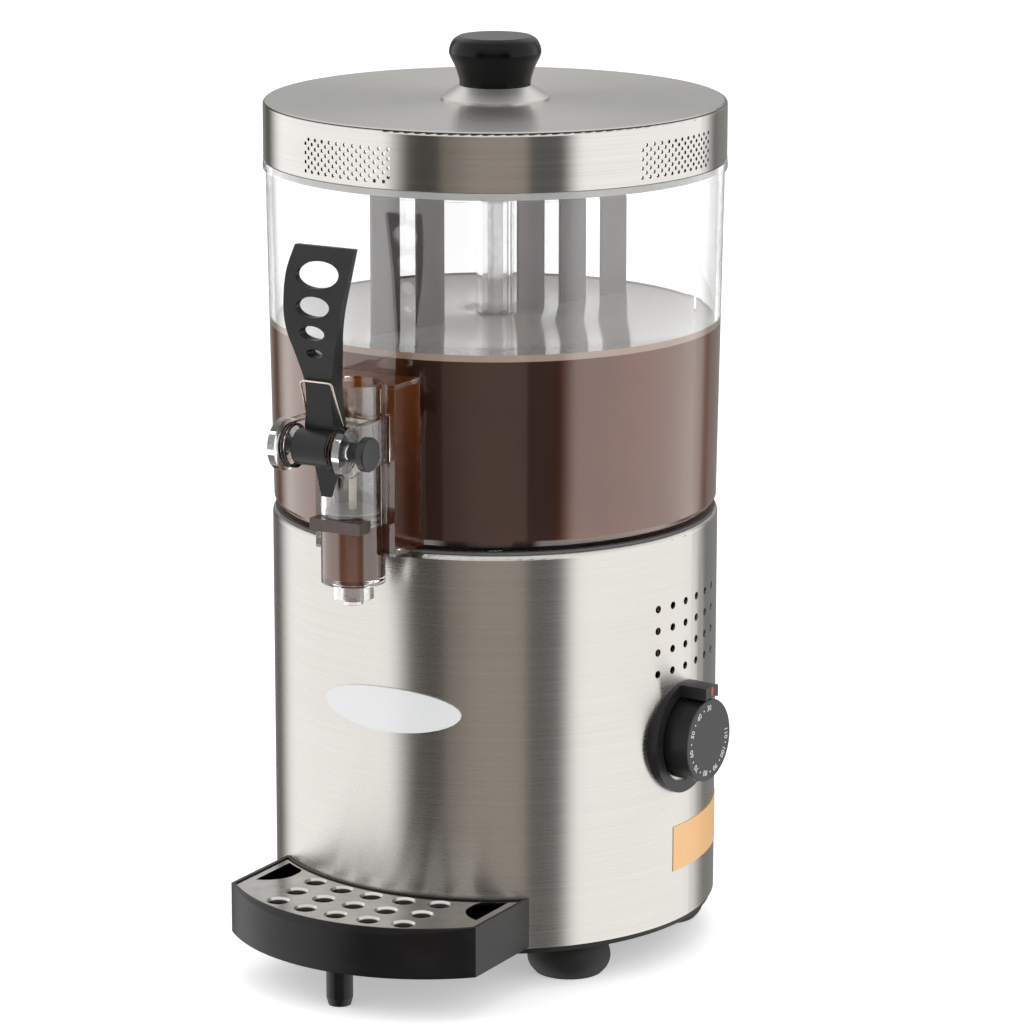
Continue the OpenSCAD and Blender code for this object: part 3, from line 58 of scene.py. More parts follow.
class Level:
    """A value that varies over a surface. A sum on Levels adds its Math nodes."""

    def __init__(self, finish, socket):
        self.finish, self.socket = finish, socket

    def sum(self, operation, a, b=0.0):
        return self.finish.node("ShaderNodeMath", {"operation": operation}, {0: a, 1: b})

    def __add__(self, other):
        return self.sum("ADD", self, other)

    def __sub__(self, other):
        return self.sum("SUBTRACT", self, other)

    def __rsub__(self, other):
        return self.sum("SUBTRACT", other, self)

    def __mul__(self, other):
        return self.sum("MULTIPLY", self, other)

    def __pow__(self, other):
        return self.sum("POWER", self, other)

    __radd__, __rmul__ = __add__, __mul__

    def rise(self, low, high):
        """0 below low, 1 above high, and a soft step between them."""
        return self.finish.node(
            "ShaderNodeMapRange", {"interpolation_type": "SMOOTHSTEP"}, {0: self, 1: low, 2: high})

    def band(self, low, high, edge):
        return self.rise(low - edge, low + edge) * (1 - self.rise(high - edge, high + edge))

    def mix(self, a, b):
        """Colour a where this Level is 0 and colour b where it is 1."""
        return self.finish.node("ShaderNodeMix", {"data_type": "RGBA"}, {0: self, 6: a, 7: b}, 2)


class Finish:
    """A surface finish: a Principled skin and the nodes that vary it."""

    def __init__(self, name, base, roughness, metallic=0.0, **fixed):
        self.material = bpy.data.materials.new(name)
        self.material.use_nodes = True
        self.tree = self.material.node_tree
        self.skin = self.tree.nodes["Principled BSDF"]
        self.put(Base_Color=base, Roughness=roughness, Metallic=metallic, **fixed)
        self.material.diffuse_color = (*(base if isinstance(base, tuple) else (0.5,) * 3), 1)

    def join(self, value, socket):
        if isinstance(value, Level):
            self.tree.links.new(value.socket, socket)
        elif isinstance(value, tuple) and len(value) == 3 and socket.type == "RGBA":
            socket.default_value = (*value, 1)
        else:
            socket.default_value = value

    def put(self, **values):
        for name, value in values.items():
            self.join(value, self.skin.inputs[name.replace("_", " ")])
        return self

    def node(self, kind, settings=None, values=None, out=0):
        made = self.tree.nodes.new(kind)
        for name, value in (settings or {}).items():
            setattr(made, name, value)
        for end, value in (values or {}).items():
            self.join(value, made.inputs[end])
        return Level(self, made.outputs[out])

    def place(self, stretch=(1, 1, 1), centre=(0, 0, 0), turn=(0, 0, 0)):
        """Object coordinates, moved so that centre is their zero, then turned and stretched."""
        spot = self.node("ShaderNodeTexCoord", out=3)
        moved = self.node("ShaderNodeVectorMath", {"operation": "SUBTRACT"}, {0: spot, 1: centre})
        return self.node("ShaderNodeMapping", {}, {0: moved, 2: turn, 3: stretch})

    def parts(self, vector):
        split = self.tree.nodes.new("ShaderNodeSeparateXYZ")
        self.join(vector, split.inputs[0])
        return [Level(self, split.outputs[i]) for i in range(3)]

    def vector(self, x, y, z):
        return self.node("ShaderNodeCombineXYZ", {}, {0: x, 1: y, 2: z})

    def noise(self, vector, scale=1.0, detail=2.0, rough=0.5):
        return self.node("ShaderNodeTexNoise", {}, {0: vector, 2: scale, 3: detail, 4: rough})

    def bump(self, height, strength, distance):
        return self.put(Normal=self.node(
            "ShaderNodeBump", {}, {"Height": height, "Strength": strength, "Distance": distance}))

    def on(self, *objects):
        for o in objects:
            o.data.materials.clear()
            o.data.materials.append(self.material)
        return self


jacket_low, jacket_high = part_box("housing_shell")
axis = Vector(((jacket_low.x + jacket_high.x) / 2, (jacket_low.y + jacket_high.y) / 2, 0))


def drum_brushed(name, base, roughness, lines, smear=0.92, shade=None):
    """Steel brushed round the machine's axis: lines per metre, up the sides and out over the top."""
    steel = Finish(name, base, roughness, 1.0, Anisotropic=smear, Anisotropic_Rotation=0.25)
    x, y, z = steel.parts(steel.place(centre=tuple(axis)))
    reach = (x * x + y * y) ** 0.5
    grain = steel.noise(steel.vector(x * 7, y * 7, (z + reach) * lines), 1.0, 3.0, 0.7)
    cloud = steel.noise(steel.place((9, 9, 4)), 1.0, 2.0)
    tone = (grain * 0.6 + cloud * 0.4).rise(0.3, 0.7).mix(
        tuple(c * 0.94 for c in base), tuple(min(1.0, c * 1.05) for c in base))
    if shade:
        tone = shade(reach, z).mix(tone, tuple(c * 0.05 for c in base))
    steel.put(Base_Color=tone, Roughness=roughness - 0.05 + grain * 0.07 + cloud * 0.03)
    return steel.bump(grain, 0.14, 0.00005)


jacket_steel = drum_brushed("jacket_steel", (0.52, 0.51, 0.49), 0.27, 1500)
jacket_steel.on(node["housing_shell"])


# ---------------------------------------------------------------- base and feet
# A black moulding closes the drum from below; its edge shows as a dark lip under the jacket.
# Four rubber feet are pulled up against it by screws.

def moulded(name, base, roughness, grain=2600, depth=0.00004, **fixed):
    """Moulded plastic or rubber with a fine spark grain and faint handling marks."""
    made = Finish(name, base, roughness, **{"Specular_IOR_Level": 0.3, **fixed})
    fine = made.noise(made.place((grain,) * 3), 1.0, 2.0, 0.6)
    worn = made.noise(made.place((38, 38, 60)), 1.0, 3.0, 0.65)
    made.put(Base_Color=worn.rise(0.35, 0.7).mix(base, tuple(min(1, c * 1.25 + 0.002) for c in base)),
             Roughness=roughness - 0.04 + worn * 0.1)
    return made.bump(fine, 0.22, depth)


moulded("base_black", (0.008, 0.008, 0.0085), 0.45).on(node["base_plate"])
moulded("foot_rubber", (0.008, 0.008, 0.008), 0.55, 1800).on(node["rubber_feet"])


def plated(name, base, roughness, metallic=1.0):
    """Small metal parts: zinc, turned or drawn, with a little dulling."""
    made = Finish(name, base, roughness, metallic)
    dull = made.noise(made.place((240, 240, 240)), 1.0, 3.0)
    made.put(Base_Color=dull.rise(0.3, 0.75).mix(base, tuple(c * 0.82 for c in base)),
             Roughness=roughness + dull * 0.12)
    return made.bump(made.noise(made.place((900, 900, 900))), 0.08, 0.00003)


zinc = plated("zinc", (0.6, 0.6, 0.6), 0.28)
zinc.on(*(node[n] for n in ("foot_screws", "bracket_screws", "motor_bracket", "knob_screw", "pin_clip")))


# ---------------------------------------------------------------- deck, heater and seal
# Under the bowl lie a pressed steel deck, an aluminium heating plate and, below the deck, a tubular
# element clamped up. A black rubber ring shows as a thin line where the bowl meets the drum.

plated("deck_steel", (0.5, 0.5, 0.5), 0.35).on(node["top_deck"])
plated("heater_plate", (0.55, 0.55, 0.56), 0.4).on(node["heating_plate"])
plated("element_sheath", (0.3, 0.27, 0.25), 0.45).on(node["heating_element"])
moulded("seal_rubber", (0.09, 0.085, 0.08), 0.6, 1500).on(node["bowl_gasket"])


# ---------------------------------------------------------------- motor and drive
# A painted motor with a cast gearbox hangs from a folded bracket and turns the shaft in the bowl's column.

moulded("motor_paint", (0.05, 0.055, 0.06), 0.4, 900).on(node["motor"])
plated("cast_case", (0.42, 0.43, 0.44), 0.5).on(node["gearbox"])
plated("bronze", (0.55, 0.36, 0.14), 0.3).on(node["shaft_bush"])
plated("ground_steel", (0.66, 0.66, 0.65), 0.14).on(node["drive_shaft"], node["dial_spindle"])


# ---------------------------------------------------------------- controls inside the drum
# The thermostat sits behind the dial; its copper capillary runs up to the deck, beside a safety cut-out.

moulded("brown_moulding", (0.2, 0.15, 0.1), 0.5, 1400).on(node["thermostat_body"])
plated("copper", (0.62, 0.29, 0.16), 0.3).on(node["capillary_tube"])
moulded("cream_moulding", (0.66, 0.6, 0.48), 0.45, 1400).on(node["safety_thermostat"], node["terminal_block"])


# ---------------------------------------------------------------- rear switch and cable gland
# A black rocker in its snap-in frame, and a gland whose nuts clamp the jacket's sheet.

moulded("switch_black", (0.009, 0.009, 0.0095), 0.36).on(node["switch_frame"], node["cable_gland"])
moulded("rocker_black", (0.008, 0.008, 0.0085), 0.24, Specular_IOR_Level=0.5).on(node["power_rocker"])


# ---------------------------------------------------------------- temperature dial
# A glossy black bezel with a pointer tab, and a black knob whose face carries white degrees.

moulded("bezel_black", (0.012, 0.012, 0.0125), 0.34).on(node["dial_bezel"])
dial_facing = math.radians(-3.5)
face_out, face_right = (Vector((math.cos(dial_facing), math.sin(dial_facing), 0)),
                        Vector((-math.sin(dial_facing), math.cos(dial_facing), 0)))
knob_reach, dial_height, face_radius, ink = 0.1313, 0.12, 0.0215, 0.00002
on_face = Matrix((face_right, Vector((0, 0, 1)), face_out)).transposed().to_4x4()
on_face.translation = axis + face_out * knob_reach + Vector((0, 0, dial_height))

dial_black = Finish("dial_black", (0.009, 0.009, 0.009), 0.36, 0.0, Specular_IOR_Level=0.3)
fx, fy, fz = dial_black.parts(dial_black.place(centre=tuple(on_face.translation), turn=(0, 0, -dial_facing)))
worn = dial_black.noise(dial_black.place((38, 38, 60)), 1.0, 3.0, 0.65)
turned_face = dial_black.noise(dial_black.vector((fy * fy + fz * fz) ** 0.5 * 2600, 0.0, 0.0), 1.0, 2.0)
cap = fx.rise(-0.0007, -0.0001)
dial_black.put(Base_Color=cap.mix(worn.mix((0.007, 0.007, 0.007), (0.011, 0.011, 0.011)),
                                  turned_face.mix((0.03, 0.029, 0.031), (0.042, 0.04, 0.043))),
               Roughness=0.34 + worn * 0.08 + cap * 0.06)
dial_black.bump(turned_face * cap + dial_black.noise(dial_black.place((2600,) * 3), 1.0, 2.0), 0.2, 0.00003)
dial_black.on(node["dial_knob"])

dial_white = Finish("dial_white", (0.8, 0.8, 0.78), 0.5)
dial_white.put(Base_Color=dial_white.noise(dial_white.place((900,) * 3), 1.0, 2.0).mix(
    (0.7, 0.7, 0.68), (0.86, 0.86, 0.84)))


def dial_number(text, around):
    """Raised ink figures, read from outside, their feet towards the spindle."""
    curve = bpy.data.curves.new("figures", "FONT")
    curve.body, curve.size, curve.extrude = text, 0.0042, 0.00003
    curve.align_x, curve.align_y, curve.resolution_u = "CENTER", "CENTER", 3
    drawn = bpy.data.objects.new("figures", curve)
    bpy.context.collection.objects.link(drawn)
    mesh = bpy.data.meshes.new_from_object(drawn.evaluated_get(bpy.context.evaluated_depsgraph_get()))
    bpy.data.objects.remove(drawn)
    outwards = Matrix.Translation((0, face_radius * 0.79, ink))
    mesh.transform(on_face @ Matrix.Rotation(around, 4, "Z") @ outwards)
    return mesh


def arc_of_dots(radius, dot, count, start, sweep):
    """Geometry Nodes tree: count ink dots on an arc of the dial's face."""
    tree = bpy.data.node_groups.new("arc_of_dots", "GeometryNodeTree")
    ends = {}
    for label, kind in (("Arc radius", "NodeSocketFloat"), ("Dot radius", "NodeSocketFloat"),
                        ("Dots", "NodeSocketInt"), ("Start", "NodeSocketFloat"),
                        ("Sweep", "NodeSocketFloat")):
        ends[label] = tree.interface.new_socket(label, in_out="INPUT", socket_type=kind).identifier
    tree.interface.new_socket("Geometry", in_out="OUTPUT", socket_type="NodeSocketGeometry")
    given, out = tree.nodes.new("NodeGroupInput"), tree.nodes.new("NodeGroupOutput")
    arc = tree.nodes.new("GeometryNodeCurveArc")
    points, dots = tree.nodes.new("GeometryNodeCurveToPoints"), tree.nodes.new("GeometryNodeMeshCylinder")
    points.mode = "EVALUATED"
    spread = tree.nodes.new("GeometryNodeInstanceOnPoints")
    real = tree.nodes.new("GeometryNodeRealizeInstances")
    paint = tree.nodes.new("GeometryNodeSetMaterial")
    dots.inputs["Vertices"].default_value, dots.inputs["Depth"].default_value = 14, 0.00006
    paint.inputs["Material"].default_value = dial_white.material
    link = tree.links.new
    link(given.outputs["Arc radius"], arc.inputs["Radius"])
    link(given.outputs["Dots"], arc.inputs["Resolution"])
    link(given.outputs["Start"], arc.inputs["Start Angle"])
    link(given.outputs["Sweep"], arc.inputs["Sweep Angle"])
    link(arc.outputs["Curve"], points.inputs["Curve"])
    link(given.outputs["Dot radius"], dots.inputs["Radius"])
    link(points.outputs["Points"], spread.inputs["Points"])
    link(dots.outputs["Mesh"], spread.inputs["Instance"])
    link(spread.outputs["Instances"], real.inputs["Geometry"])
    link(real.outputs["Geometry"], paint.inputs["Geometry"])
    link(paint.outputs["Geometry"], out.inputs[0])
    holder = bpy.data.objects.new("dots", bpy.data.meshes.new("dots"))
    bpy.context.collection.objects.link(holder)
    live = holder.modifiers.new("dots", "NODES")
    live.node_group = tree
    for label, value in (("Arc radius", radius), ("Dot radius", dot), ("Dots", count),
                         ("Start", start), ("Sweep", sweep)):
        live[ends[label]] = value
    mesh = bpy.data.meshes.new_from_object(holder.evaluated_get(bpy.context.evaluated_depsgraph_get()))
    bpy.data.objects.remove(holder)
    mesh.transform(on_face @ Matrix.Translation((0, 0, ink)))
    return mesh


def joined(name, meshes):
    """One piece from several meshes."""
    shape = bmesh.new()
    for mesh in meshes:
        shape.from_mesh(mesh)
        bpy.data.meshes.remove(mesh)
    whole = bpy.data.meshes.new(name)
    shape.to_mesh(whole)
    shape.free()
    made = bpy.data.objects.new(name, whole)
    bpy.context.collection.objects.link(made)
    return made


# figures from 30 to 110 degrees over three quarters of a turn, with a dot between each two
figures, dot_radius = 9, 0.00045
gaps = figures - 1
step = math.radians(270 / gaps)
dots = arc_of_dots(face_radius * 0.8, dot_radius, gaps, math.pi / 2 + step / 2, (gaps - 1) * step)
scale = joined("dial_scale", [*(dial_number(str(30 + 10 * i), i * step) for i in range(figures)), dots])
dial_white.on(scale)
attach(scale, "dial")

# a red dash let into the end of the bezel's tab, which stands out past the knob's face
dash_up, dash_out, dash_size = 0.0262, 0.00174, (0.0018, 0.0046, 0.00014)
pointer = bpy.data.meshes.new("pointer_mark")
shape = bmesh.new()
bmesh.ops.create_cube(shape, size=1)
shape.to_mesh(pointer)
shape.free()
pointer.transform(on_face @ Matrix.Translation((0, dash_up, dash_out)) @ Matrix.Diagonal((*dash_size, 1)))
mark = bpy.data.objects.new("pointer_mark", pointer)
bpy.context.collection.objects.link(mark)
mark_red = Finish("mark_red", (0.5, 0.02, 0.03), 0.4)
mark_red.put(Base_Color=mark_red.noise(mark_red.place((700,) * 3), 1.0, 2.0).mix(
    (0.42, 0.015, 0.025), (0.58, 0.03, 0.04)))
mark_red.on(mark)
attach(mark, "housing")


# ---------------------------------------------------------------- badge and side label
# A blank oval plate on the front and a blank orange film on the side.

badge_white = Finish("badge_white", (0.72, 0.73, 0.73), 0.22, 0.0, Coat_Weight=0.4, Coat_Roughness=0.1)
badge_white.put(Base_Color=badge_white.noise(badge_white.place((30, 30, 30)), 1.0, 2.0).mix(
    (0.7, 0.71, 0.71), (0.76, 0.77, 0.77)))
badge_white.on(node["badge_plate"])
label_film = Finish("label_film", (0.85, 0.5, 0.2), 0.35, 0.0)
label_film.put(Base_Color=label_film.noise(label_film.place((60, 60, 60)), 1.0, 3.0).mix(
    (0.84, 0.46, 0.17), (0.88, 0.54, 0.25)))
label_film.on(node["rating_label"])


# ---------------------------------------------------------------- bowl
# A clear moulded bowl with a thick rim and a hollow centre column for the shaft.

def clear(name, tint, roughness):
    made = Finish(name, tint, roughness, 0.0, Transmission_Weight=1.0, IOR=1.49,
                  Coat_Weight=0.6, Coat_IOR=1.8, Coat_Roughness=0.02)
    smear = made.noise(made.place((26, 26, 34)), 1.0, 3.0)
    made.put(Roughness=roughness + smear * 0.02)
    return made


clear("clear_bowl", (0.97, 0.975, 0.975), 0.0).on(node["bowl"])
clear("clear_tap", (0.97, 0.97, 0.97), 0.0).on(node["tap_body"])


# ---------------------------------------------------------------- chocolate
# The drink fills the bowl to just above the tap's channel, with a pale froth on top, and stands in the
# channel, the barrel and the nozzle. It wets the plastic, so its skin lies a hair inside the walls.

bowl_low, bowl_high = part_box("bowl")
froth_top, drink_top = 0.3285, 0.3262
floor_z, wet = bowl_low.z + 0.0028, 0.00004
chamfer_z, bowl_foot, bowl_flare, bowl_wall = bowl_low.z + 0.0054, 0.1152, 0.0028, 0.003
column, foot_round, meniscus = 0.00975, 0.004, 0.0011


def bowl_inside(z):
    """Inner radius of the bowl's wall at a height."""
    share = (z - chamfer_z) / (bowl_high.z - chamfer_z)
    return bowl_foot + bowl_flare * share - bowl_wall


def turned(name, outline, steps=192, about=axis):
    """A closed outline of (radius, height) turned about an upright line."""
    mesh, shape = bpy.data.meshes.new(name), bmesh.new()
    rings = [[shape.verts.new((about.x + r * math.cos(a), about.y + r * math.sin(a), z)) for r, z in outline]
             for a in (2 * math.pi * i / steps for i in range(steps))]
    for i in range(steps):
        for j in range(len(outline)):
            k = (j + 1) % len(outline)
            shape.faces.new((rings[i][j], rings[(i + 1) % steps][j], rings[(i + 1) % steps][k], rings[i][k]))
    bmesh.ops.recalc_face_normals(shape, faces=shape.faces)
    shape.to_mesh(mesh)
    shape.free()
    made = bpy.data.objects.new(name, mesh)
    bpy.context.collection.objects.link(made)
    mesh.shade_smooth()
    mesh.set_sharp_from_angle(angle=math.radians(35))
    return made


foot = bowl_inside(floor_z + foot_round)
drink = turned("chocolate", [
    (column - wet, floor_z - wet), (foot - foot_round, floor_z - wet),
    (foot - 0.3 * foot_round + wet, floor_z + 0.3 * foot_round), (foot + wet, floor_z + foot_round),
    (bowl_inside(drink_top) + wet, drink_top), (column - wet, drink_top)])
cocoa = Finish("cocoa", (0.05, 0.012, 0.005), 0.45, 0.0, Specular_IOR_Level=0.1)
cx, cy, cz = cocoa.parts(cocoa.place(centre=tuple(axis)))
# degrees round the bowl from the tap. Painted shade: the drink is painted darkest from 6 to 48 degrees round,
# beside the channel on the dial's side; painted light: it is painted lighter round the sides
round_bowl = cocoa.node("ShaderNodeMath", {"operation": "ARCTAN2"}, {0: cx, 1: cy * -1}) * (180 / math.pi)
streaks = cocoa.noise(cocoa.place((22, 22, 9)), 1.0, 3.0).rise(0.35, 0.65)
cocoa.put(Base_Color=round_bowl.band(6, 48, 4).mix(
    streaks.mix((0.2, 0.062, 0.025), (0.25, 0.08, 0.034)),
    streaks.mix((0.045, 0.01, 0.003), (0.065, 0.016, 0.006))))
cocoa.on(drink)
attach(drink, "bowl_unit")

# the froth climbs a little up the wall and the column
froth_edge = bowl_inside(froth_top)
froth = turned("froth", [
    (column - wet, drink_top), (bowl_inside(drink_top) + wet, drink_top),
    (froth_edge + wet, froth_top + meniscus), (froth_edge - 0.0005, froth_top + 0.0004),
    (froth_edge - 0.0017, froth_top), (column + 0.00175, froth_top), (column + 0.00055, froth_top + 0.0004),
    (column - wet, froth_top + 0.001)])
foam = Finish("foam", (0.64, 0.53, 0.46), 0.12, 0.0, Coat_Weight=0.35, Coat_Roughness=0.03)
bx, by, bz = foam.parts(foam.place(centre=tuple(axis)))
rim_of_foam = ((bx * bx + by * by) ** 0.5).rise(0.1105, 0.113)
swirl = foam.noise(foam.place((16, 16, 16)), 1.0, 4.0, 0.6)
fleck = foam.noise(foam.place((900, 900, 900)), 1.0, 2.0).rise(0.3, 0.7)
milky = (swirl * 0.7 + fleck * 0.3).rise(0.3, 0.7).mix((0.6, 0.49, 0.42), (0.68, 0.57, 0.5))
foam.put(Base_Color=rim_of_foam.mix(milky, (0.6, 0.42, 0.32)),
         Roughness=0.12 + fleck * 0.08)
foam.bump(fleck, 0.1, 0.00005)
foam.on(froth)
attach(froth, "bowl_unit")

# the tap's hollows: a channel out of the bowl, a port at its foot, the barrel below the piston and the nozzle
barrel_reach, channel_floor, channel_top = 0.141, 0.2343, 0.315
barrel = axis + Vector((0, -barrel_reach, 0))


def block(name, outline, low, high):
    """A closed outline of (x, y) from the machine's axis, raised between two heights."""
    shape, mesh = bmesh.new(), bpy.data.meshes.new(name)
    rows = [[shape.verts.new((axis.x + x, axis.y + y, z)) for x, y in outline] for z in (low, high)]
    for i in range(len(outline)):
        k = (i + 1) % len(outline)
        shape.faces.new((rows[0][i], rows[0][k], rows[1][k], rows[1][i]))
    bmesh.ops.triangulate(shape, faces=[shape.faces.new(row) for row in rows])
    bmesh.ops.recalc_face_normals(shape, faces=shape.faces)
    shape.to_mesh(mesh)
    shape.free()
    return mesh


def drawn_from(*made):
    """Meshes taken off their objects, to be joined."""
    meshes = [m.data.copy() for m in made]
    for m in made:
        bpy.data.objects.remove(m)
    return meshes


side, front, back = 0.02 + wet, -0.136 - wet, -0.1125
barrel_outside, barrel_turn = 0.016 - wet, 18.4
round_barrel = [(barrel_outside * math.cos(a), barrel_outside * math.sin(a) - barrel_reach)
                for a in (math.radians(barrel_turn + (180 - 2 * barrel_turn) * i / 24) for i in range(25))]
channel_fill = block("channel", [(side, back), (side, front), *round_barrel, (-side, front), (-side, back)],
                     channel_floor - wet, channel_top + wet)
port_side, port_in, port_out, port_top = 0.009 + wet, -0.124, -0.1285, 0.245
port_fill = block("port", [(port_side, port_in), (port_side, port_out),
                           (-port_side, port_out), (-port_side, port_in)], channel_floor - wet, port_top + wet)
bore, plug, rod, barrel_floor, barrel_full = 0.01395, 0.0083, 0.0043, 0.22, 0.2464
barrel_fill = turned("barrel", [
    (plug, barrel_floor - wet), (bore + wet, barrel_floor - wet), (bore + wet, barrel_full + 0.0002),
    (0.0125, barrel_full), (rod, barrel_full), (rod, 0.233), (plug, 0.233)], 96, barrel)
nozzle, nozzle_middle, nozzle_full = 0.004, 0.0004, 0.2199
nozzle_fill = turned("nozzle", [
    (nozzle_middle, 0.2072), (0.0028, 0.2066), (nozzle + wet, 0.2074), (nozzle + wet, nozzle_full),
    (nozzle_middle, nozzle_full)], 48, barrel)
tap_drink = joined("chocolate_in_tap", [channel_fill, port_fill, *drawn_from(barrel_fill, nozzle_fill)])
tap_drink.data.shade_smooth()
tap_drink.data.set_sharp_from_angle(angle=math.radians(35))
tap_cocoa = Finish("cocoa_in_tap", (0.2, 0.055, 0.012), 0.4, 0.0, Specular_IOR_Level=0.2)
tx, ty, tz = tap_cocoa.parts(tap_cocoa.place(centre=tuple(barrel)))
# painted light and shade: the drink in the tap is painted dark low in the channel and bright orange higher up
# and on its left, where light comes through the clear plastic, and palest down the barrel's middle as a
# painted highlight
deep, off_middle = tz.rise(0.25, 0.32), (tx * tx) ** 0.5
in_channel = tap_cocoa.node(
    "ShaderNodeMath", {"operation": "GREATER_THAN"}, {0: tx * tx + ty * ty, 1: 0.0145 ** 2})
near_side = tx.rise(-0.006, 0.004)
channel_tone = deep.mix((0.085, 0.018, 0.003), near_side.mix((0.5, 0.135, 0.018), (0.2, 0.05, 0.008)))
barrel_tone = off_middle.rise(0.008, 0.0135).mix((0.2, 0.075, 0.042), (0.09, 0.022, 0.006))
tap_cocoa.put(Base_Color=in_channel.mix(barrel_tone, channel_tone),
               Roughness=0.36 + tap_cocoa.noise(tap_cocoa.place((60,) * 3), 1.0, 2.0) * 0.08)
tap_cocoa.on(tap_drink)
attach(tap_drink, "bowl_unit")


# ---------------------------------------------------------------- tap
# A black lever on a pin between the clear ears lifts a cream rod and its grey piston off the nozzle.
# A dark plate is moulded on the barrel's front.

moulded("plate_brown", (0.055, 0.035, 0.03), 0.25, 1200, Specular_IOR_Level=0.5).on(node["front_plate"])
moulded("pin_black", (0.009, 0.0105, 0.0125), 0.3, Specular_IOR_Level=0.4).on(node["pivot_pin"])
moulded("lever_black", (0.007, 0.0075, 0.0085), 0.36, 3200, Specular_IOR_Level=0.3).on(node["tap_lever"])
moulded("rod_cream", (0.62, 0.58, 0.47), 0.3).on(node["piston_rod"], node["crosshead"])
moulded("piston_grey", (0.24, 0.21, 0.19), 0.35).on(node["piston_head"])
moulded("ring_rubber", (0.02, 0.02, 0.02), 0.5).on(node["piston_rings"])


# ---------------------------------------------------------------- return spring
# One drawn steel wire: a tail on the tap, a coil round the hub, a bail over the lever's neck, and the same
# again.

pivot = axis + Vector((0, -0.174, 0.291))


def through(points, steps):
    """Points on a smooth line through the given ones."""
    line = [points[0] * 2 - points[1], *points, points[-1] * 2 - points[-2]]
    made = []
    for a, b, c, d in zip(line, line[1:], line[2:], line[3:]):
        for i in range(steps):
            t = i / steps
            made.append(0.5 * (2 * b + (c - a) * t + (2 * a - 5 * b + 4 * c - d) * t ** 2
                               + (3 * b - a - 3 * c + d) * t ** 3))
    return made + [points[-1]]


coil_radius, coil_out, coil_in, wire = 0.0105, 0.0156, 0.010925, 0.00055
coil_sweep, coil_steps = 990, 132
tail_length, tail_steps, tail_middle = 0.0263, 8, 0.0131
half = [Vector((-coil_out, tail_length - tail_middle * i / tail_steps, coil_radius))
        for i in range(tail_steps + 1)]
half += [Vector((-coil_out, tail_middle - tail_middle * i / tail_steps, coil_radius))
         for i in range(1, tail_steps)]
for i in range(coil_steps + 1):
    a = math.radians(90 + coil_sweep * i / coil_steps)
    half.append(Vector((-coil_out + (coil_out - coil_in) * i / coil_steps,
                        coil_radius * math.cos(a), coil_radius * math.sin(a))))
half += through([Vector(p) / 1000 for p in ((-10.925, 10.5, 4), (-9.726, 6.51, 14.77), (-9.126, 2.1, 26.26),
                                            (-9.126, 0.3, 30.33))], 8)
half += [Vector((-0.006626 + 0.0025 * math.cos(a), 0.0003 * (1 - i / 8), 0.03033 + 0.0025 * math.sin(a)))
         for i, a in ((i, math.radians(180 - 11.25 * i)) for i in range(1, 9))]
route = [pivot + p for p in half] + [pivot + Vector((-p.x, p.y, p.z)) for p in reversed(half)]

wire_line = bpy.data.curves.new("spring_line", "CURVE")
wire_line.dimensions = "3D"
spline = wire_line.splines.new("POLY")
spline.points.add(len(route) - 1)
for p, v in zip(spline.points, route):
    p.co = (*v, 1)
spring = bpy.data.objects.new("return_spring", wire_line)
bpy.context.collection.objects.link(spring)
spring_wire = plated("spring_wire", (0.62, 0.57, 0.48), 0.2)
wx, wy, wz = spring_wire.parts(spring_wire.place(centre=tuple(pivot)))
# the wire is coloured near black within about 12 mm of the pivot's line, over the coils, and bright steel
# further out
dark_by_pivot = 1 - ((wy * wy + wz * wz) ** 0.5).rise(0.0115, 0.0145)
dull = spring_wire.noise(spring_wire.place((500,) * 3), 1.0, 3.0)
spring_wire.put(Base_Color=dark_by_pivot.mix(dull.mix((0.68, 0.62, 0.52), (0.5, 0.45, 0.38)), (0.05, 0.04, 0.035)))

drawn_wire = bpy.data.node_groups.new("drawn_wire", "GeometryNodeTree")
drawn_wire.interface.new_socket("Line", in_out="INPUT", socket_type="NodeSocketGeometry")
radius_in = drawn_wire.interface.new_socket("Wire radius", in_out="INPUT", socket_type="NodeSocketFloat")
drawn_wire.interface.new_socket("Geometry", in_out="OUTPUT", socket_type="NodeSocketGeometry")
taken, given_out, round_section, sweep, smooth, real, paint = (drawn_wire.nodes.new(kind) for kind in (
    "NodeGroupInput", "NodeGroupOutput", "GeometryNodeCurvePrimitiveCircle", "GeometryNodeCurveToMesh",
    "GeometryNodeSetShadeSmooth", "GeometryNodeRealizeInstances", "GeometryNodeSetMaterial"))
round_section.inputs["Resolution"].default_value = 12
sweep.inputs["Fill Caps"].default_value = True
paint.inputs["Material"].default_value = spring_wire.material
for a, b in ((taken.outputs[0], sweep.inputs["Curve"]), (taken.outputs[1], round_section.inputs["Radius"]),
             (round_section.outputs["Curve"], sweep.inputs["Profile Curve"]),
             (sweep.outputs["Mesh"], smooth.inputs["Geometry"]),
             (smooth.outputs["Geometry"], real.inputs["Geometry"]),
             (real.outputs["Geometry"], paint.inputs["Geometry"]),
             (paint.outputs["Geometry"], given_out.inputs[0])):
    drawn_wire.links.new(a, b)
bending = spring.modifiers.new("wire", "NODES")
bending.node_group = drawn_wire
bending[radius_in.identifier] = wire
spring_mesh = bpy.data.meshes.new_from_object(spring.evaluated_get(bpy.context.evaluated_depsgraph_get()))
bpy.data.objects.remove(spring)
spring = bpy.data.objects.new("return_spring", spring_mesh)
bpy.context.collection.objects.link(spring)
spring_wire.on(spring)
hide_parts("lever_spring")
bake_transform(spring)


# ---------------------------------------------------------------- stirrer
# A flat frame of smoky plastic blades that turns round the column.

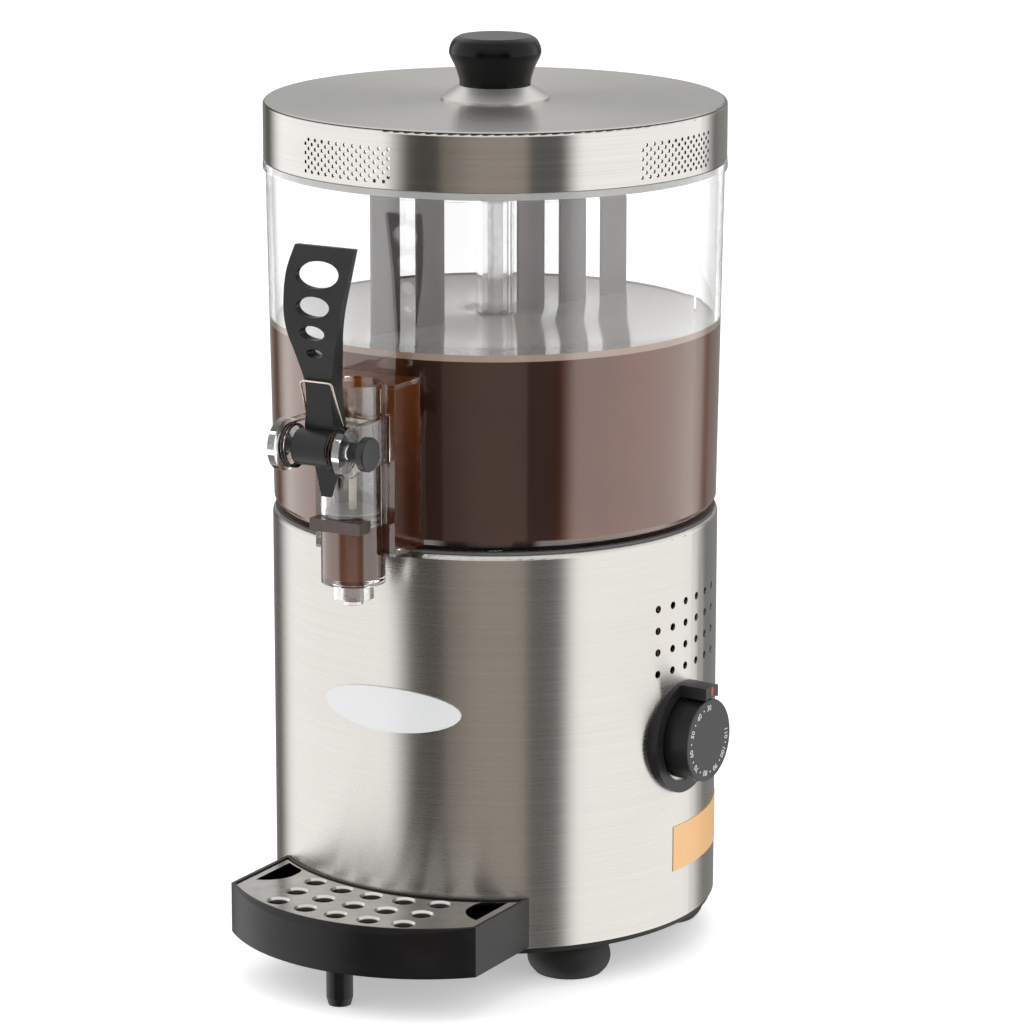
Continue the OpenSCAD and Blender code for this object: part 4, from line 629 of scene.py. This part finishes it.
stirrer_grey = Finish("stirrer_grey", (0.2, 0.175, 0.178), 0.35, 0.0, Specular_IOR_Level=0.3)
stirrer_grey.put(Base_Color=stirrer_grey.noise(stirrer_grey.place((30, 30, 12)), 1.0, 2.0).mix(
    (0.185, 0.16, 0.163), (0.22, 0.19, 0.19)))
stirrer_grey.bump(stirrer_grey.noise(stirrer_grey.place((1600,) * 3)), 0.15, 0.00003)
stirrer_grey.on(node["stirrer"])
moulded("hub_cream", (0.7, 0.68, 0.63), 0.3).on(node["stirrer_hub"])


# ---------------------------------------------------------------- lid
# A spun steel lid with punched vents, a plastic locating ring inside, and a black knob on a steel cone.

lid_low, lid_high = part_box("lid_cover")
lid_radius = (lid_high.x - lid_low.x) / 2


def inside_lid(reach, z, deep=0.0005, shallow=0.0002):
    """1 on the lid's unlit inside, which shows dark through the vents, and 0 on its outside."""
    return (1 - reach.rise(lid_radius - deep, lid_radius - shallow)) * (
        1 - z.rise(lid_high.z - deep, lid_high.z - shallow))


lid_steel = drum_brushed("lid_steel", (0.54, 0.53, 0.515), 0.22, 1500, 0.88, shade=inside_lid)
lid_steel.on(node["lid_cover"])
ring_white = moulded("lid_ring_white", (0.6, 0.6, 0.57), 0.35)
rx, ry, rz = ring_white.parts(ring_white.place())
# painted shade: above its lowest edge, up inside the lid, the ring is painted near black
ring_white.put(Base_Color=rz.rise(lid_low.z + 0.0006, lid_low.z + 0.0012).mix(
    (0.6, 0.6, 0.57), (0.012, 0.012, 0.012)))
ring_white.on(node["lid_ring"])
collar_steel = drum_brushed("collar_steel", (0.55, 0.54, 0.52), 0.36, 2400, 0.5)
collar_steel.on(node["knob_collar"])
moulded("knob_gloss", (0.0015, 0.0015, 0.0015), 0.17, Specular_IOR_Level=0.16).on(node["lid_knob"])


# ---------------------------------------------------------------- drip tray
# A black tray that slides on two steel rails, with a pressed steel grille laid in it and a leg below.

moulded("tray_black", (0.0045, 0.0045, 0.005), 0.34, Specular_IOR_Level=0.25).on(
    node["drip_tray"], node["tray_leg"])
moulded("rail_black", (0.009, 0.009, 0.009), 0.4).on(node["tray_bracket"])
grille_steel = plated("grille_steel", (0.5, 0.49, 0.47), 0.12)
# painted shade and painted reflection: the dishes' walls are painted near black from about 1 mm below the
# sheet's top, darkening towards their drains
grille_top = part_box("tray_grille")[1].z
gx, gy, gz = grille_steel.parts(grille_steel.place())
smudge = grille_steel.noise(grille_steel.place((90, 90, 90)), 1.0, 3.0)
grille_steel.put(Base_Color=gz.rise(grille_top - 0.0016, grille_top - 0.0009).mix(
    (0.02, 0.019, 0.018), smudge.rise(0.3, 0.7).mix((0.46, 0.45, 0.43), (0.54, 0.53, 0.51))))
grille_steel.on(node["tray_grille"])


# ---------------------------------------------------------------- studio
# A white table and backdrop. The steel mirrors a tall pale screen on either side and, between them, a
# darker camera side. A ray seen plainly or through the clear plastic meets white.

table_half, table_mesh = 6, bpy.data.meshes.new("table")
table_mesh.from_pydata([(x * table_half, y * table_half, 0) for x, y in ((-1, -1), (1, -1), (1, 1), (-1, 1))],
                       [], [(0, 1, 2, 3)])
table = bpy.data.objects.new("table", table_mesh)
bpy.context.collection.objects.link(table)
white = Finish("table_white", (0.9, 0.9, 0.9), 0.6, 0.0)
ways = white.tree.nodes.new("ShaderNodeLightPath")
seen, mirrored, refracted = (Level(white, ways.outputs["Is %s Ray" % kind])
                             for kind in ("Camera", "Glossy", "Transmission"))
plainly_seen = white.node("ShaderNodeMath", {"operation": "MINIMUM"}, {0: seen + refracted, 1: 1})
white.put(Emission_Color=(1, 1, 1), Emission_Strength=plainly_seen * 0.4)
nothing = white.node("ShaderNodeBsdfTransparent")
open_to_mirrors = white.node("ShaderNodeMixShader", {}, {
    0: mirrored * (1 - refracted), 1: Level(white, white.skin.outputs[0]), 2: nothing})
white.join(open_to_mirrors, white.tree.nodes["Material Output"].inputs[0])
white.on(table)

room = bpy.data.worlds.new("room")
bpy.context.scene.world = room
room.use_nodes = True


class Room(Finish):
    """The world's nodes, written as a finish is."""

    def __init__(self, world):
        self.tree = world.node_tree
        self.skin = self.tree.nodes["Background"]


studio = Room(room)
wx, wy, wz = studio.parts(studio.node("ShaderNodeTexCoord", out=0))
# degrees from straight in front of the machine, positive towards its right
bearing = studio.node("ShaderNodeMath", {"operation": "ARCTAN2"}, {0: wx, 1: wy * -1}) * (180 / math.pi)
left_screen = bearing.rise(-122, -100) * (1 - bearing.rise(-28, -12))
right_screen = bearing.rise(62, 74) * (1 - bearing.rise(150, 172))
between = bearing.band(3, 47, 1.2)
screen_edge = bearing.band(47, 60, 2)
warm_grey = bearing.rise(3, 24).mix((0.27, 0.235, 0.2), (0.43, 0.37, 0.32))
room_look = (between * (1 - screen_edge)).mix((0.08, 0.07, 0.06), warm_grey)
room_look = screen_edge.mix(room_look, (0.12, 0.118, 0.112))
behind = bearing.rise(165, 176) + (1 - bearing.rise(-140, -118))
room_look = behind.mix(room_look, wz.rise(-0.1, 0.25).mix((0.29, 0.29, 0.28), (0.56, 0.56, 0.55)))
room_look = (left_screen + right_screen).mix(room_look, (1.58, 1.56, 1.53))
room_look = wz.rise(0.18, 0.62).mix(room_look, (1.3, 1.29, 1.27))
paths = studio.tree.nodes.new("ShaderNodeLightPath")
seen, mirrored, refracted = (Level(studio, paths.outputs["Is %s Ray" % kind])
                             for kind in ("Camera", "Glossy", "Transmission"))
lit = (mirrored * (1 - refracted)).mix((0.86, 0.86, 0.86), room_look)
plainly_seen = studio.node("ShaderNodeMath", {"operation": "MAXIMUM"}, {0: seen, 1: refracted})
studio.put(Color=plainly_seen.mix(lit, (1, 1, 1)))


def soft_lamp(name, place, aim, size, watts):
    lamp = bpy.data.lights.new(name, "AREA")
    lamp.shape, lamp.size, lamp.size_y, lamp.energy = "RECTANGLE", size[0], size[1], watts
    made = bpy.data.objects.new(name, lamp)
    bpy.context.collection.objects.link(made)
    made.location = place
    made.rotation_euler = (Vector(aim) - Vector(place)).to_track_quat("-Z", "Y").to_euler()
    made.visible_glossy, made.visible_transmission = False, False


soft_lamp("lamp_left", place=(-1.3, -1.2, 1.5), aim=(0, 0, 0.25), size=(1.2, 1.6), watts=10)
soft_lamp("lamp_right", place=(1.7, -0.6, 1.1), aim=(0, 0, 0.25), size=(1.0, 1.6), watts=7)
soft_lamp("lamp_top", place=(0, 0.2, 1.9), aim=(0, 0, 0.3), size=(1.4, 1.4), watts=6)

# The camera stands 2.4 m off, 30 degrees to the machine's right and 13.4 degrees up.
camera_off, camera_turn, camera_rise, aim_height = 2.4, math.radians(30), math.radians(13.42), 0.223
lens = bpy.data.cameras.new("camera")
lens.sensor_width, lens.lens, lens.shift_x = 36, 161.4, 0.0164
lens.clip_end = 50
camera = bpy.data.objects.new("camera", lens)
bpy.context.collection.objects.link(camera)
towards_camera = Vector((math.sin(camera_turn) * math.cos(camera_rise),
                         -math.cos(camera_turn) * math.cos(camera_rise), math.sin(camera_rise)))
camera.location = axis + Vector((0, 0, aim_height)) + towards_camera * camera_off
camera.rotation_euler = towards_camera.to_track_quat("Z", "Y").to_euler()
bpy.context.scene.camera = camera
bpy.context.scene.view_settings.view_transform = "Standard"
